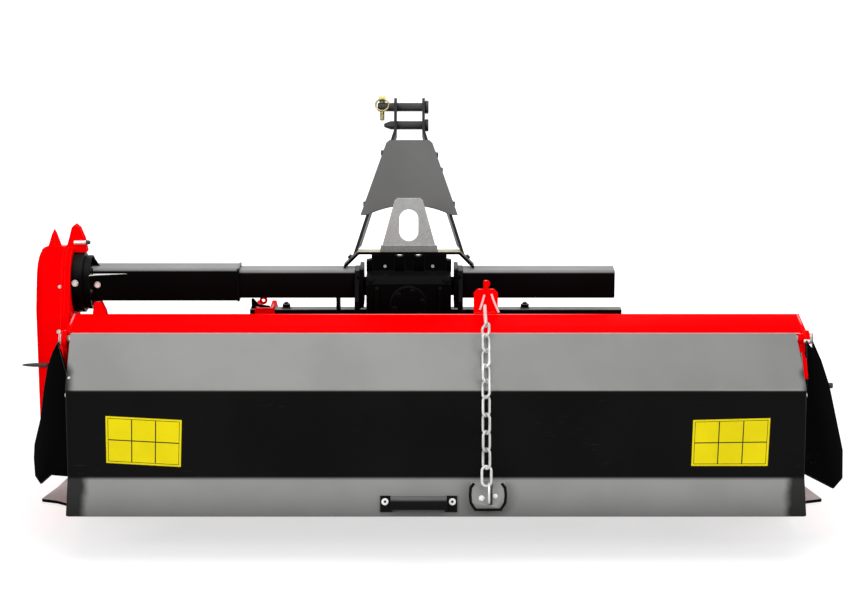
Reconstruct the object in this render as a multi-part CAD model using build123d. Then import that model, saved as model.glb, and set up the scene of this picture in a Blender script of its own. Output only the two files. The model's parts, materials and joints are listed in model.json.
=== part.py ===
"""Rotary tiller for a small tractor's three-point hitch, seen here with X to the right from behind,
Y forward to the tractor and Z up from the ground. Millimetres."""

import os
from math import atan2, cos, degrees, hypot, radians, sin, sqrt

from build123d import *

# Rotor
ROTOR_RADIUS = 190.0
TINE_GROUND_GAP = 15.0
ROTOR_Y = -85.0
ROTOR_TUBE_RADIUS = 38.0
ROTOR_END_GAP = 14.0
FLANGE_RADIUS = 92.0
FLANGE_THICKNESS = 12.0
FLANGE_COUNT = 7
FLANGE_END_INSET = 42.0
TINES_PER_FLANGE = 4
TINE_THICKNESS = 7.0
TINE_WIDTH = 42.0
TINE_FOOT = 84.0
TINE_ROOT_RADIUS = 56.0
STUB_RADIUS = 20.0

# Hood
HOOD_WIDTH = 1500.0
SIDE_PLATE = 8.0
SHEET = 4.0

# Drive case and beam
CASE_RISE = 278.0
CASE_TOP_RADIUS = 78.0
CASE_BOTTOM_RADIUS = 86.0
CASE_STAND = 16.0
CASE_BODY = 40.0
CASE_COVER = 42.0
CASE_COVER_INSET = 4.0
CASE_EDGE = 18.0
CASE_TAPER = 14.0
BEAM = 60.0
BEAM_CORNER = 8.0
SLEEVE = 70.0
INNER_BEAM_SHOWN = 245.0
RIGHT_BEAM_LENGTH = 321.0
PROP_OFFSET = 32.0
PROP = 8.0
PROP_HALF_DEPTH = 22.0

# Gearbox and hitch, centred on the tractor's middle
HITCH_X = -57.0
GEARBOX_WIDTH = 178.0
GEARBOX_REAR_Y = -72.0
GEARBOX_FRONT_Y = 88.0
GEARBOX_TOP = 24.0
SADDLE_GAP = 6.0
SADDLE_FLANGE = 9.0
SADDLE_PLATE = 10.0
BRIDGE_PLATE = 6.0
PTO_DROP = 74.0
PTO_RADIUS = 17.5
PTO_LENGTH = 88.0
MAST_HEIGHT = 500.0
MAST_LEAN = 31.5
MAST_BAR = 6.0
MAST_BAR_WIDTH = 40.0
TOP_GAP = 55.0
TOP_PIN_RADIUS = 9.5
LOWER_PIN_RADIUS = 11.0
LOWER_SHANK_RADIUS = 12.5
LOWER_COLLAR_RADIUS = 18.0
LOWER_COLLAR = 10.0
LOWER_SPREAD = 683.0
LYNCH_HOLE_RADIUS = 5.5
LYNCH_HOLE_INSET = 14.0

# Gate
GATE_END_GAP = 15.0
HINGE_Y = -278.0
HINGE_Z = 425.0
HINGE_ROD_RADIUS = 7.0
FIT_GAP = 0.08
MOVE_GAP = 6.0
SEAT_GAP = 0.3
ROD_PAST_PLATE = 9.0

# Skids
SKID_PLATE = 8.0
SKID_RIGHT_REACH = 85.0
SKID_LEFT_REACH = 102.0
SKID_TAIL_Y = -17.0
SKID_SUPPORT_Y = -95.0
SKID_FRONT_Y = 262.0
SKID_TOE = 80.0
LEFT_PIN_REACH = 32.0
RIGHT_PIN_REACH = 85.0

# Middle pieces of the gate, to the right of the tractor's middle
HANDLE_OFFSET = 22.5
CHAIN_OFFSET = 160.0

ROTOR_Z = ROTOR_RADIUS + TINE_GROUND_GAP
BEAM_Z = ROTOR_Z + CASE_RISE
SIDE_OUT = HOOD_WIDTH / 2
SIDE_IN = SIDE_OUT - SIDE_PLATE
BEAM_TOP = BEAM_Z + BEAM / 2
BRIDGE_TOP = BEAM_TOP + 36.0
GEARBOX_LOW = HITCH_X - GEARBOX_WIDTH / 2
GEARBOX_HIGH = HITCH_X + GEARBOX_WIDTH / 2
CASE_IN_X = -SIDE_OUT - CASE_STAND
CASE_LEFT_X = CASE_IN_X - CASE_BODY - CASE_COVER
PTO_Z = BEAM_Z - PTO_DROP
SADDLE_HALF_WIDTH = GEARBOX_WIDTH / 2 + SADDLE_GAP + SADDLE_FLANGE + SADDLE_PLATE
PART_LEFT_X = CASE_LEFT_X - LEFT_PIN_REACH
PART_RIGHT_X = SIDE_OUT + max(SKID_RIGHT_REACH, RIGHT_PIN_REACH)
HANDLE_X = HITCH_X + HANDLE_OFFSET
CHAIN_X = HITCH_X + CHAIN_OFFSET
WELL_CLEAR = 2 * HOOD_WIDTH
MAST_FOOT_Y = 20.0
BRIDGE_REAR_Y = -6.0
BRIDGE_FRONT_Y = 24.0
TOP_PIN_RISE = 309.0
MAST_FOOT_Z = BEAM_TOP + BRIDGE_PLATE
TOP_PIN_Z = MAST_FOOT_Z + TOP_PIN_RISE
LOWER_PIN_Z = TOP_PIN_Z - MAST_HEIGHT


def polar(angle, clearance):
    """A point (y, z) at a stated clearance outside the tine circle."""
    reach = ROTOR_RADIUS + clearance
    return (ROTOR_Y + reach * cos(radians(angle)), ROTOR_Z + reach * sin(radians(angle)))


# Hood folds from the ridge to the front lip: angle about the rotor, clearance outside the tines
HOOD_FOLDS = [
    ("ridge", 104.6, 60.0),
    ("under_beam", 67.3, 30.0),
    ("shoulder", 35.0, 54.0),
    ("front", 6.3, 82.0),
    ("lip", -7.0, 84.0),
]
HOOD_REAR_EDGE = (HINGE_Y + HINGE_ROD_RADIUS + MOVE_GAP + 7.0, HINGE_Z + HINGE_ROD_RADIUS + 1.0)
HOOD_LINE = [HOOD_REAR_EDGE] + [polar(angle, clearance) for _, angle, clearance in HOOD_FOLDS]

# Gate folds from the hinge to the lip, as steps (y, z) from the hinge axis
GATE_FOLDS = [
    ("top edge", -4.0, 12.0),
    ("upper fold", -94.0, -83.0),
    ("lower fold", -105.0, -261.0),
    ("lip", -143.0, -328.0),
]
GATE_LINE = [(HINGE_Y + dy, HINGE_Z + dz) for _, dy, dz in GATE_FOLDS]


def yz_plate(points, x_low, x_high):
    """A flat plate in the YZ plane between two X positions."""
    face = Plane.YZ * Polygon(*points, align=None)
    return Pos(x_low, 0, 0) * extrude(face, x_high - x_low, dir=(1, 0, 0))


def xz_plate(points, y_low, y_high):
    """A flat plate in the XZ plane between two Y positions."""
    face = Plane.XZ * Polygon(*points, align=None)
    return Pos(0, y_low, 0) * extrude(face, y_high - y_low, dir=(0, 1, 0))


def xy_plate(points, z_low, z_high):
    """A flat plate in the XY plane between two heights."""
    return Pos(0, 0, z_low) * extrude(Polygon(*points, align=None), z_high - z_low, dir=(0, 0, 1))


def block(x_low, x_high, y_low, y_high, z_low, z_high):
    """A box between its low and high corners."""
    size = (x_high - x_low, y_high - y_low, z_high - z_low)
    middle = ((x_low + x_high) / 2, (y_low + y_high) / 2, (z_low + z_high) / 2)
    return Pos(*middle) * Box(*size)


def rod_x(x_low, x_high, y, z, radius):
    """A round rod along X."""
    base = (Align.CENTER, Align.CENTER, Align.MIN)
    return Pos(x_low, y, z) * Rot(0, 90, 0) * Cylinder(radius, x_high - x_low, align=base)


def rod_y(y_low, y_high, x, z, radius):
    """A round rod along Y."""
    base = (Align.CENTER, Align.CENTER, Align.MIN)
    return Pos(x, y_low, z) * Rot(-90, 0, 0) * Cylinder(radius, y_high - y_low, align=base)


def rod_z(z_low, z_high, x, y, radius):
    """A round rod along Z."""
    base = (Align.CENTER, Align.CENTER, Align.MIN)
    return Pos(x, y, z_low) * Cylinder(radius, z_high - z_low, align=base)


def side_normal(start, end):
    """The unit normal to the right of a step from start to end."""
    step_y, step_z = end[0] - start[0], end[1] - start[1]
    length = hypot(step_y, step_z)
    return (step_z / length, -step_y / length)


def offset_line(points, distance):
    """A polyline moved to its right by a distance, with mitred corners."""
    normals = [side_normal(start, end) for start, end in zip(points, points[1:])]
    before = [normals[0]] + normals
    after = normals + [normals[-1]]
    moved = []
    for point, first, second in zip(points, before, after):
        share = distance / (1 + first[0] * second[0] + first[1] * second[1])
        moved.append(
            (point[0] + share * (first[0] + second[0]), point[1] + share * (first[1] + second[1]))
        )
    return moved


def folded_sheet(points, thickness, x_low, x_high):
    """A folded sheet whose thickness lies to the right of its outer line."""
    inner = offset_line(points, thickness)
    return yz_plate(points + inner[::-1], x_low, x_high)


def stadium(top, top_radius, bottom, bottom_radius, x_low, x_high):
    """A case outline round two axes, joined by its tangent sides."""
    distance = hypot(top[0] - bottom[0], top[1] - bottom[1])
    along = ((top[0] - bottom[0]) / distance, (top[1] - bottom[1]) / distance)
    lean = (bottom_radius - top_radius) / distance
    across = sqrt(1 - lean * lean)
    sides = []
    for sign in (1, -1):
        normal = (
            along[0] * lean + sign * along[1] * across,
            along[1] * lean - sign * along[0] * across,
        )
        sides.append(
            [
                (centre[0] + normal[0] * radius, centre[1] + normal[1] * radius)
                for centre, radius in ((bottom, bottom_radius), (top, top_radius))
            ]
        )
    web = yz_plate(sides[0] + sides[1][::-1], x_low, x_high)
    caps = rod_x(x_low, x_high, *top, top_radius) + rod_x(x_low, x_high, *bottom, bottom_radius)
    return web + caps


def square_tube(x_low, x_high, size, wall):
    """A square tube along X on the beam's axis."""
    face = Plane.YZ * RectangleRounded(size, size, BEAM_CORNER)
    hole = Plane.YZ * RectangleRounded(size - 2 * wall, size - 2 * wall, BEAM_CORNER - wall / 2)
    return Pos(x_low, 0, BEAM_Z) * extrude(face - hole, x_high - x_low, dir=(1, 0, 0))


def several(shapes):
    """Separate solids that share one node."""
    return Compound([solid for shape in shapes for solid in shape.solids()])


def hood_core(x_low, x_high):
    """All that lies under the hood's outer surface, to cut what stands on it."""
    line = HOOD_LINE
    return yz_plate(line + [(line[-1][0], 0.0), (line[0][0], 0.0)], x_low, x_high)


def hood_height(y):
    """The height of the hood's outer surface at a y."""
    for (low_y, low_z), (high_y, high_z) in zip(HOOD_LINE, HOOD_LINE[1:]):
        if low_y <= y <= high_y:
            return low_z + (high_z - low_z) * (y - low_y) / (high_y - low_y)
    raise ValueError("y lies off the hood")


# Hood and its side plates
SIDE_FOOT_Z = SKID_PLATE
HINGE_EAR = 17.0
SHAFT_HOLE_GAP = 6.0


def hood_shell():
    """The folded sheet over the rotor, with a stiffening return at its front lip."""
    sheet = folded_sheet(HOOD_LINE, SHEET, -SIDE_IN, SIDE_IN)
    lip_y, lip_z = HOOD_LINE[-1]
    return sheet + block(-SIDE_IN, SIDE_IN, lip_y - SHEET, lip_y + 22.0, lip_z - SHEET, lip_z)


def side_plate(side):
    """One end plate: under the hood line, down to the skid and back to the hinge ear."""
    front_y = HOOD_LINE[-1][0]
    outline = HOOD_LINE[1:] + [
        (front_y + 6.0, 110.0),
        (SKID_FRONT_Y - SKID_TOE - 4.0, SIDE_FOOT_Z),
        (SKID_SUPPORT_Y + 10.0, SIDE_FOOT_Z),
        (ROTOR_Y - 128.0, 96.0),
        (HINGE_Y + 4.0, HINGE_Z - 130.0),
        (HINGE_Y - 9.0, HINGE_Z - 22.0),
    ]
    rear_top = (HOOD_REAR_EDGE[0], HOOD_REAR_EDGE[1])
    outline = [rear_top] + outline
    low, high = (SIDE_IN, SIDE_OUT) if side > 0 else (-SIDE_OUT, -SIDE_IN)
    plate = yz_plate(outline, low, high) + rod_x(low, high, HINGE_Y, HINGE_Z, HINGE_EAR)
    plate -= rod_x(low, high, HINGE_Y, HINGE_Z, HINGE_ROD_RADIUS + FIT_GAP)
    return plate - rod_x(low, high, ROTOR_Y, ROTOR_Z, STUB_RADIUS + SHAFT_HOLE_GAP)


STIFFENER = 30.0
STIFFENER_Y = 62.0
STIFFENER_HALF = 400.0
STIFFENER_REAR_Y = STIFFENER_Y - STIFFENER / 2
STIFFENER_FRONT_Y = STIFFENER_Y + STIFFENER / 2
STIFFENER_TOP = hood_height(STIFFENER_REAR_Y) + STIFFENER


def hood_stiffener():
    """The bar along the hood's front, ahead of the beam, in two runs beside the gearbox."""
    half = STIFFENER_HALF
    bar = block(-half, half, STIFFENER_REAR_Y, STIFFENER_FRONT_Y, ROTOR_Z, STIFFENER_TOP)
    bar -= block(GEARBOX_LOW, GEARBOX_HIGH, STIFFENER_REAR_Y, STIFFENER_FRONT_Y, 0, STIFFENER_TOP)
    return several([bar - hood_core(-half, half)])


# Drive case
DRIVE_FLANGE_RADIUS = 64.0
CASE_TOP = (0.0, BEAM_Z)
CASE_BOTTOM = (ROTOR_Y, ROTOR_Z)
EAR_DEPTH = 24.0
EAR_MIDDLE_X = CASE_IN_X + 6.0
EAR_HALF = 23.0
EAR_SHOULDER_Z = BEAM_Z + 68.0
EAR_TOP_Z = BEAM_Z + 125.0
STUB_SEAT = 24.0
PAD_TOP = (-50.0, ROTOR_Z + 95.0)
PAD_TOP_RADIUS = 50.0
PAD_BOTTOM_RADIUS = 78.0
TAPER_TOP_Z = BEAM_Z - 43.0
LUG_HALF = 15.0
EAR_FLANGE_GAP = 2.0
LUG_TOP_Z = BEAM_Z + 114.0
LUG_DEPTH = 12.0


def case_lug(side):
    """One half of the pointed lug that stands over the seam of the drive case."""
    seam = CASE_IN_X - CASE_BODY
    shoulder = BEAM_Z + CASE_TOP_RADIUS - CASE_COVER_INSET
    outline = [
        (seam, BEAM_Z),
        (seam, LUG_TOP_Z),
        (seam + side * LUG_HALF * 0.3, LUG_TOP_Z - 9.0),
        (seam + side * LUG_HALF, shoulder),
        (seam + side * LUG_HALF, BEAM_Z),
    ]
    return xz_plate(outline, -LUG_DEPTH / 2, LUG_DEPTH / 2)


def gear_case():
    """The inner half of the side drive case: its body, its lower pad, its top ear and the shaft bore."""
    body = stadium(
        CASE_TOP, CASE_TOP_RADIUS, CASE_BOTTOM, CASE_BOTTOM_RADIUS, CASE_IN_X - CASE_BODY, CASE_IN_X
    )
    body += stadium(
        PAD_TOP, PAD_TOP_RADIUS, CASE_BOTTOM, PAD_BOTTOM_RADIUS, CASE_IN_X, -SIDE_OUT
    )
    outline = [
        (EAR_MIDDLE_X - EAR_HALF, EAR_SHOULDER_Z - EAR_HALF),
        (EAR_MIDDLE_X + EAR_HALF, EAR_SHOULDER_Z - EAR_HALF),
        (EAR_MIDDLE_X + EAR_HALF, EAR_SHOULDER_Z),
        (EAR_MIDDLE_X + EAR_HALF * 0.8, EAR_SHOULDER_Z + 26.0),
        (EAR_MIDDLE_X + EAR_HALF * 0.4, EAR_TOP_Z - 8.0),
        (EAR_MIDDLE_X, EAR_TOP_Z),
        (EAR_MIDDLE_X - EAR_HALF * 0.35, EAR_TOP_Z - 6.0),
        (EAR_MIDDLE_X - EAR_HALF * 0.65, EAR_SHOULDER_Z + 26.0),
        (EAR_MIDDLE_X - EAR_HALF, EAR_SHOULDER_Z),
    ]
    ear = xz_plate(outline, -EAR_DEPTH / 2, EAR_DEPTH / 2)
    ear -= block(CASE_IN_X, 0, -EAR_DEPTH, EAR_DEPTH, 0, BEAM_Z + DRIVE_FLANGE_RADIUS + EAR_FLANGE_GAP)
    body += ear + case_lug(1)
    bore = rod_x(
        -SIDE_OUT - STUB_SEAT, -SIDE_OUT, ROTOR_Y, ROTOR_Z, STUB_RADIUS + FIT_GAP
    )
    return body - bore


def gear_case_cover():
    """The pressed outer cover of the drive case, narrower towards its foot, with a pointed lug on top."""
    inner_x = CASE_IN_X - CASE_BODY
    cover = stadium(
        CASE_TOP,
        CASE_TOP_RADIUS - CASE_COVER_INSET,
        CASE_BOTTOM,
        CASE_BOTTOM_RADIUS - CASE_COVER_INSET,
        CASE_LEFT_X,
        inner_x,
    )
    cover = chamfer(cover.faces().sort_by(Axis.X)[0].edges(), CASE_EDGE)
    taper = [
        (CASE_LEFT_X - 1.0, TAPER_TOP_Z),
        (CASE_LEFT_X, TAPER_TOP_Z),
        (CASE_LEFT_X + CASE_TAPER, ROTOR_Z),
        (CASE_LEFT_X + CASE_TAPER, 0.0),
        (CASE_LEFT_X - 1.0, 0.0),
    ]
    cover -= xz_plate(taper, -WELL_CLEAR, WELL_CLEAR)
    return cover + case_lug(-1)


# Beam
SLEEVE_FLANGE_RADIUS = 56.0
SLEEVE_FLANGE = 14.0
TUBE_WALL = 6.0
BEAM_LEFT_X = HITCH_X - SADDLE_HALF_WIDTH
BEAM_RIGHT_X = HITCH_X + SADDLE_HALF_WIDTH


def drive_flange():
    """The round flange between the drive case and the sleeve."""
    return rod_x(CASE_IN_X, -SIDE_IN, 0, BEAM_Z, DRIVE_FLANGE_RADIUS)


def sleeve_tube():
    """The larger square tube from the drive flange, with its own flange and rib."""
    start = -SIDE_IN
    end = BEAM_LEFT_X - INNER_BEAM_SHOWN
    tube = square_tube(start, end, SLEEVE, (SLEEVE - BEAM) / 2)
    flange = rod_x(start, start + SLEEVE_FLANGE, 0, BEAM_Z, SLEEVE_FLANGE_RADIUS)
    flange -= block(
        start - 1, start + SLEEVE_FLANGE + 1, -BEAM / 2, BEAM / 2, BEAM_Z - BEAM / 2, BEAM_TOP
    )
    return tube + flange


def left_beam():
    """The inner square tube from the sleeve to the gearbox saddle."""
    return square_tube(-SIDE_IN, BEAM_LEFT_X, BEAM, TUBE_WALL)


def right_beam():
    """The blank square beam to the right of the gearbox, with a capped end."""
    end = BEAM_RIGHT_X + RIGHT_BEAM_LENGTH
    tube = square_tube(BEAM_RIGHT_X, end, BEAM, TUBE_WALL)
    cap = Pos(end - SHEET, 0, BEAM_Z) * extrude(
        Plane.YZ * RectangleRounded(BEAM, BEAM, BEAM_CORNER), SHEET, dir=(1, 0, 0)
    )
    return tube + cap


def beam_prop(side):
    """A short stay between the hood and the underside of the beam."""
    inner = HITCH_X + side * (SADDLE_HALF_WIDTH + PROP_OFFSET)
    outer = inner + side * PROP
    low, high = min(inner, outer), max(inner, outer)
    stay = block(low, high, -PROP_HALF_DEPTH, PROP_HALF_DEPTH, ROTOR_Z, BEAM_Z - BEAM / 2)
    return stay - hood_core(low, high)


# Gearbox
NECK_RADIUS = 20.0
NECK_DROP = 9.0
GEARBOX_EDGE = 14.0
GEARBOX_FALL = 26.0
REAR_CAP_RADIUS = 38.0
REAR_CAP_DROP = 18.0
REAR_CAP = 8.0
# Posts under the bridge: low X and high X from the gearbox's middle
POSTS = [(-78.0, -30.0), (-9.5, 9.5), (32.0, 80.0)]
PTO_SEAT = 40.0
PTO_CAP_RADIUS = 46.0
PTO_CAP = 16.0


def gearbox():
    """The bevel gearbox: its cast body on the hood, its posts, its caps and the necks to the beams."""
    top = BEAM_Z + GEARBOX_TOP
    outline = [
        (GEARBOX_REAR_Y, ROTOR_Z),
        (GEARBOX_FRONT_Y, ROTOR_Z),
        (GEARBOX_FRONT_Y, top - GEARBOX_FALL),
        (BRIDGE_FRONT_Y, top),
        (GEARBOX_REAR_Y + GEARBOX_EDGE, top),
        (GEARBOX_REAR_Y, top - GEARBOX_EDGE),
    ]
    body = yz_plate(outline, GEARBOX_LOW, GEARBOX_HIGH)
    for low_half, high_half in POSTS:
        low, high = HITCH_X + low_half, HITCH_X + high_half
        body += block(low, high, BRIDGE_REAR_Y, BRIDGE_FRONT_Y, BEAM_Z, BRIDGE_TOP - BRIDGE_PLATE)
    neck_z = BEAM_Z - NECK_DROP
    neck_reach = GEARBOX_WIDTH / 2 + SADDLE_GAP
    body += rod_x(HITCH_X - neck_reach, HITCH_X + neck_reach, 0, neck_z, NECK_RADIUS)
    rear_cap_z = top - REAR_CAP_DROP - REAR_CAP_RADIUS
    body += rod_y(GEARBOX_REAR_Y - REAR_CAP, GEARBOX_REAR_Y, HITCH_X, rear_cap_z, REAR_CAP_RADIUS)
    body += rod_y(GEARBOX_FRONT_Y, GEARBOX_FRONT_Y + PTO_CAP, HITCH_X, PTO_Z, PTO_CAP_RADIUS)
    bore_start = GEARBOX_FRONT_Y + PTO_CAP - PTO_SEAT
    body -= hood_core(GEARBOX_LOW, GEARBOX_HIGH)
    return body - rod_y(
        bore_start, GEARBOX_FRONT_Y + PTO_CAP + 1, HITCH_X, PTO_Z, PTO_RADIUS + FIT_GAP
    )


SADDLE_REAR_Y = -62.0
SADDLE_FRONT_Y = STIFFENER_REAR_Y
SADDLE_FLANGE_UP = 54.0
SADDLE_FLANGE_DOWN = 48.0
SADDLE_FLANGE_HALF = 42.0
SADDLE_CHAMFER = 10.0


def saddle_plate(side):
    """One upright plate beside the gearbox on the hood, with the flange that a beam's end is bolted to."""
    outline = [
        (SADDLE_REAR_Y, ROTOR_Z),
        (SADDLE_FRONT_Y, ROTOR_Z),
        (SADDLE_FRONT_Y, BEAM_Z - BEAM / 2),
        (BEAM / 2, BEAM_TOP),
        (-BEAM / 2, BEAM_TOP),
        (SADDLE_REAR_Y, BEAM_Z - BEAM / 2),
    ]
    outer = HITCH_X + side * SADDLE_HALF_WIDTH
    middle = outer - side * SADDLE_PLATE
    inner = middle - side * SADDLE_FLANGE
    low, high = min(outer, middle), max(outer, middle)
    leg = yz_plate(outline, low, high) - hood_core(low, high)
    top = BEAM_Z + SADDLE_FLANGE_UP
    face = [
        (inner, BEAM_Z - SADDLE_FLANGE_DOWN),
        (inner, top - SADDLE_CHAMFER),
        (middle, top),
        (middle, BEAM_Z - SADDLE_FLANGE_DOWN),
    ]
    return leg + xz_plate(face, -SADDLE_FLANGE_HALF, SADDLE_FLANGE_HALF)


BRIDGE_TOP_HALF = 108.0
BRIDGE_FOOT_HALF = 138.0
BRIDGE_LINE = [
    (HITCH_X - BRIDGE_FOOT_HALF, BEAM_TOP + BRIDGE_PLATE),
    (HITCH_X - BRIDGE_TOP_HALF, BRIDGE_TOP),
    (HITCH_X + BRIDGE_TOP_HALF, BRIDGE_TOP),
    (HITCH_X + BRIDGE_FOOT_HALF, BEAM_TOP + BRIDGE_PLATE),
]


def bridge_plate():
    """The bent strap over the gearbox that ties the two beams and carries the mast."""
    (left_x, _), (right_x, _) = BRIDGE_LINE[0], BRIDGE_LINE[-1]
    _, left_bend, right_bend, _ = offset_line(BRIDGE_LINE, BRIDGE_PLATE)
    run = (BRIDGE_FOOT_HALF - BRIDGE_TOP_HALF) / (BRIDGE_TOP - BEAM_TOP - BRIDGE_PLATE)
    spread = (left_bend[1] - BEAM_TOP) * run
    outline = BRIDGE_LINE + [
        (right_x, BEAM_TOP),
        (right_bend[0] + spread, BEAM_TOP),
        right_bend,
        left_bend,
        (left_bend[0] - spread, BEAM_TOP),
        (left_x, BEAM_TOP),
    ]
    return xz_plate(outline, BRIDGE_REAR_Y, BRIDGE_FRONT_Y)


def bridge_core():
    """All that lies under the bridge plate's top, to cut the mast's feet to it."""
    (left_x, _), (right_x, _) = BRIDGE_LINE[0], BRIDGE_LINE[-1]
    under = BEAM_TOP - 200.0
    return xz_plate(BRIDGE_LINE + [(right_x, under), (left_x, under)], -200.0, 200.0)


SLOT_PLATE = 5.0
SLOT_HALF = 20.0
SLOT_LOW = 24.0
SLOT_HIGH = 92.0
SLOT_PLATE_RISE = 116.0
SLOT_PLATE_DROP = 13.0
SLOT_PLATE_LOW_HALF = 60.0
SLOT_PLATE_HIGH_HALF = 30.0
SLOT_PLATE_CORNER = 6.0
SLOT_PLATE_Y = BRIDGE_REAR_Y - SLOT_PLATE


def slot_bracket():
    """The galvanised plate with a long slot, bolted to the bridge's rear edge."""
    low, high = SLOT_PLATE_LOW_HALF, SLOT_PLATE_HIGH_HALF
    top = BRIDGE_TOP + SLOT_PLATE_RISE
    upright = xz_plate(
        [
            (HITCH_X - low, BRIDGE_TOP - SLOT_PLATE_DROP),
            (HITCH_X + low, BRIDGE_TOP - SLOT_PLATE_DROP),
            (HITCH_X + low, BRIDGE_TOP),
            (HITCH_X + high, top - SLOT_PLATE_CORNER),
            (HITCH_X + high - SLOT_PLATE_CORNER, top),
            (HITCH_X - high + SLOT_PLATE_CORNER, top),
            (HITCH_X - high, top - SLOT_PLATE_CORNER),
            (HITCH_X - low, BRIDGE_TOP),
        ],
        SLOT_PLATE_Y,
        BRIDGE_REAR_Y,
    )
    slot_low = BRIDGE_TOP + SLOT_LOW + SLOT_HALF
    slot_high = BRIDGE_TOP + SLOT_HIGH - SLOT_HALF
    rear, front = SLOT_PLATE_Y - 1.0, BRIDGE_REAR_Y + 1.0
    slot = block(HITCH_X - SLOT_HALF, HITCH_X + SLOT_HALF, rear, front, slot_low, slot_high)
    for z in (slot_low, slot_high):
        slot += rod_y(rear, front, HITCH_X, z, SLOT_HALF)
    return upright - slot


# Mast, drawn upright at its foot and then leaned forward about it
GUARD_LOW = 102.0
GUARD_HIGH = 275.0
GUARD_LOW_HALF = 104.0
GUARD_HIGH_HALF = 50.0
GUARD_CORNER = 7.0
GUARD_ARCH_RADIUS = 190.0
GUARD_ARCH_RISE = 22.0
GUARD_PLATE = 4.0
STRAP_BEND = 300.0
TOP_PIN_UP = TOP_PIN_RISE / cos(radians(MAST_LEAN))
SECOND_PIN_DOWN = 43.0
STRAP_HALF = TOP_GAP / 2 + MAST_BAR
FOOT_HALF = BRIDGE_FOOT_HALF - 4.0
MAST_TOP_ROUND = MAST_BAR_WIDTH / 2


def lean(shape):
    """Turns a part of the mast forward about its foot line."""
    return Pos(0, MAST_FOOT_Y, MAST_FOOT_Z) * Rot(-MAST_LEAN, 0, 0) * shape


def mast_bar(side):
    """One flat bar of the mast, bent in at the top for the top link's pins."""
    outer = [
        (HITCH_X + side * FOOT_HALF, -40.0),
        (HITCH_X + side * STRAP_HALF, STRAP_BEND),
        (HITCH_X + side * STRAP_HALF, TOP_PIN_UP + MAST_TOP_ROUND),
    ]
    inner = offset_line(outer, -side * MAST_BAR)
    half = MAST_BAR_WIDTH / 2
    bar = xz_plate(outer + inner[::-1], -half, half)
    corner = block(-WELL_CLEAR, WELL_CLEAR, -half, half, TOP_PIN_UP, TOP_PIN_UP + MAST_TOP_ROUND)
    bar -= corner - rod_x(-WELL_CLEAR, WELL_CLEAR, 0, TOP_PIN_UP, half)
    for up in (TOP_PIN_UP, TOP_PIN_UP - SECOND_PIN_DOWN):
        bar -= rod_x(-WELL_CLEAR, WELL_CLEAR, 0, up, TOP_PIN_RADIUS)
    return lean(bar) - bridge_core()


def mast_guard():
    """The flat plate across the back of the mast, with an arched lower edge."""
    rear = -MAST_BAR_WIDTH / 2
    plate = xz_plate(
        [
            (HITCH_X - GUARD_LOW_HALF, GUARD_LOW),
            (HITCH_X + GUARD_LOW_HALF, GUARD_LOW),
            (HITCH_X + GUARD_HIGH_HALF, GUARD_HIGH - GUARD_CORNER),
            (HITCH_X + GUARD_HIGH_HALF - GUARD_CORNER, GUARD_HIGH),
            (HITCH_X - GUARD_HIGH_HALF + GUARD_CORNER, GUARD_HIGH),
            (HITCH_X - GUARD_HIGH_HALF, GUARD_HIGH - GUARD_CORNER),
        ],
        rear - GUARD_PLATE,
        rear,
    )
    arch_z = GUARD_LOW + GUARD_ARCH_RISE - GUARD_ARCH_RADIUS
    arch = rod_y(rear - 20, rear + 20, HITCH_X, arch_z, GUARD_ARCH_RADIUS)
    return lean(plate - arch)


def top_link_pin():
    """The top link's pin through both straps, with its head at the right."""
    start = HITCH_X - STRAP_HALF - 36.0
    pin = rod_x(start, HITCH_X + STRAP_HALF, 0, TOP_PIN_UP, TOP_PIN_RADIUS)
    head = rod_x(
        HITCH_X + STRAP_HALF, HITCH_X + STRAP_HALF + 8.0, 0, TOP_PIN_UP, TOP_PIN_RADIUS + 5.0
    )
    return lean(pin + head)


def mast_cross_pin():
    """The second pin below the top link's pin."""
    up = TOP_PIN_UP - SECOND_PIN_DOWN
    start = HITCH_X - STRAP_HALF - 22.0
    pin = rod_x(start, HITCH_X + STRAP_HALF, 0, up, TOP_PIN_RADIUS)
    head = rod_x(HITCH_X + STRAP_HALF, HITCH_X + STRAP_HALF + 8.0, 0, up, TOP_PIN_RADIUS + 4.0)
    return lean(pin + head)


LYNCH_RADIUS = 5.0
LYNCH_RING = 14.0
LYNCH_WIRE = 2.0


def lynch_pin():
    """The lynch pin and its ring on the left end of the top link's pin."""
    x = HITCH_X - STRAP_HALF - 26.0
    low, high = TOP_PIN_UP - 30.0, TOP_PIN_UP + 22.0
    ring_y = -TOP_PIN_RADIUS - LYNCH_WIRE - 0.5
    pin = rod_z(low, high, x, 0, LYNCH_RADIUS)
    pin += block(x - 7, x + 7, ring_y, 7, TOP_PIN_UP + 12, high)
    ring = Pos(x, ring_y, TOP_PIN_UP) * Rot(90, 0, 0) * Torus(LYNCH_RING, LYNCH_WIRE)
    top_pin = rod_x(x - 40, x + 40, 0, TOP_PIN_UP, TOP_PIN_RADIUS)
    return several([lean(pin + ring - top_pin)])


# Power shaft and guard
GUARD_BOX_HALF = 72.0
GUARD_BOX_HALF_HEIGHT = 50.0
GUARD_BOX_CORNER = 20.0
GUARD_BOX_LENGTH = 96.0
GUARD_WALL = 4.0


def pto_shaft():
    """The six-splined input shaft."""
    start = GEARBOX_FRONT_Y + PTO_CAP - PTO_SEAT
    end = GEARBOX_FRONT_Y + PTO_CAP + PTO_LENGTH
    shaft = rod_y(start, end, HITCH_X, PTO_Z, PTO_RADIUS)
    for turn in range(6):
        angle = turn * 60.0
        groove = Pos(HITCH_X, end - 38.0, PTO_Z) * Rot(0, angle, 0) * Pos(0, 0, PTO_RADIUS + 2.0)
        shaft -= groove * Box(9.0, 78.0, 9.0)
    return shaft


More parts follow.
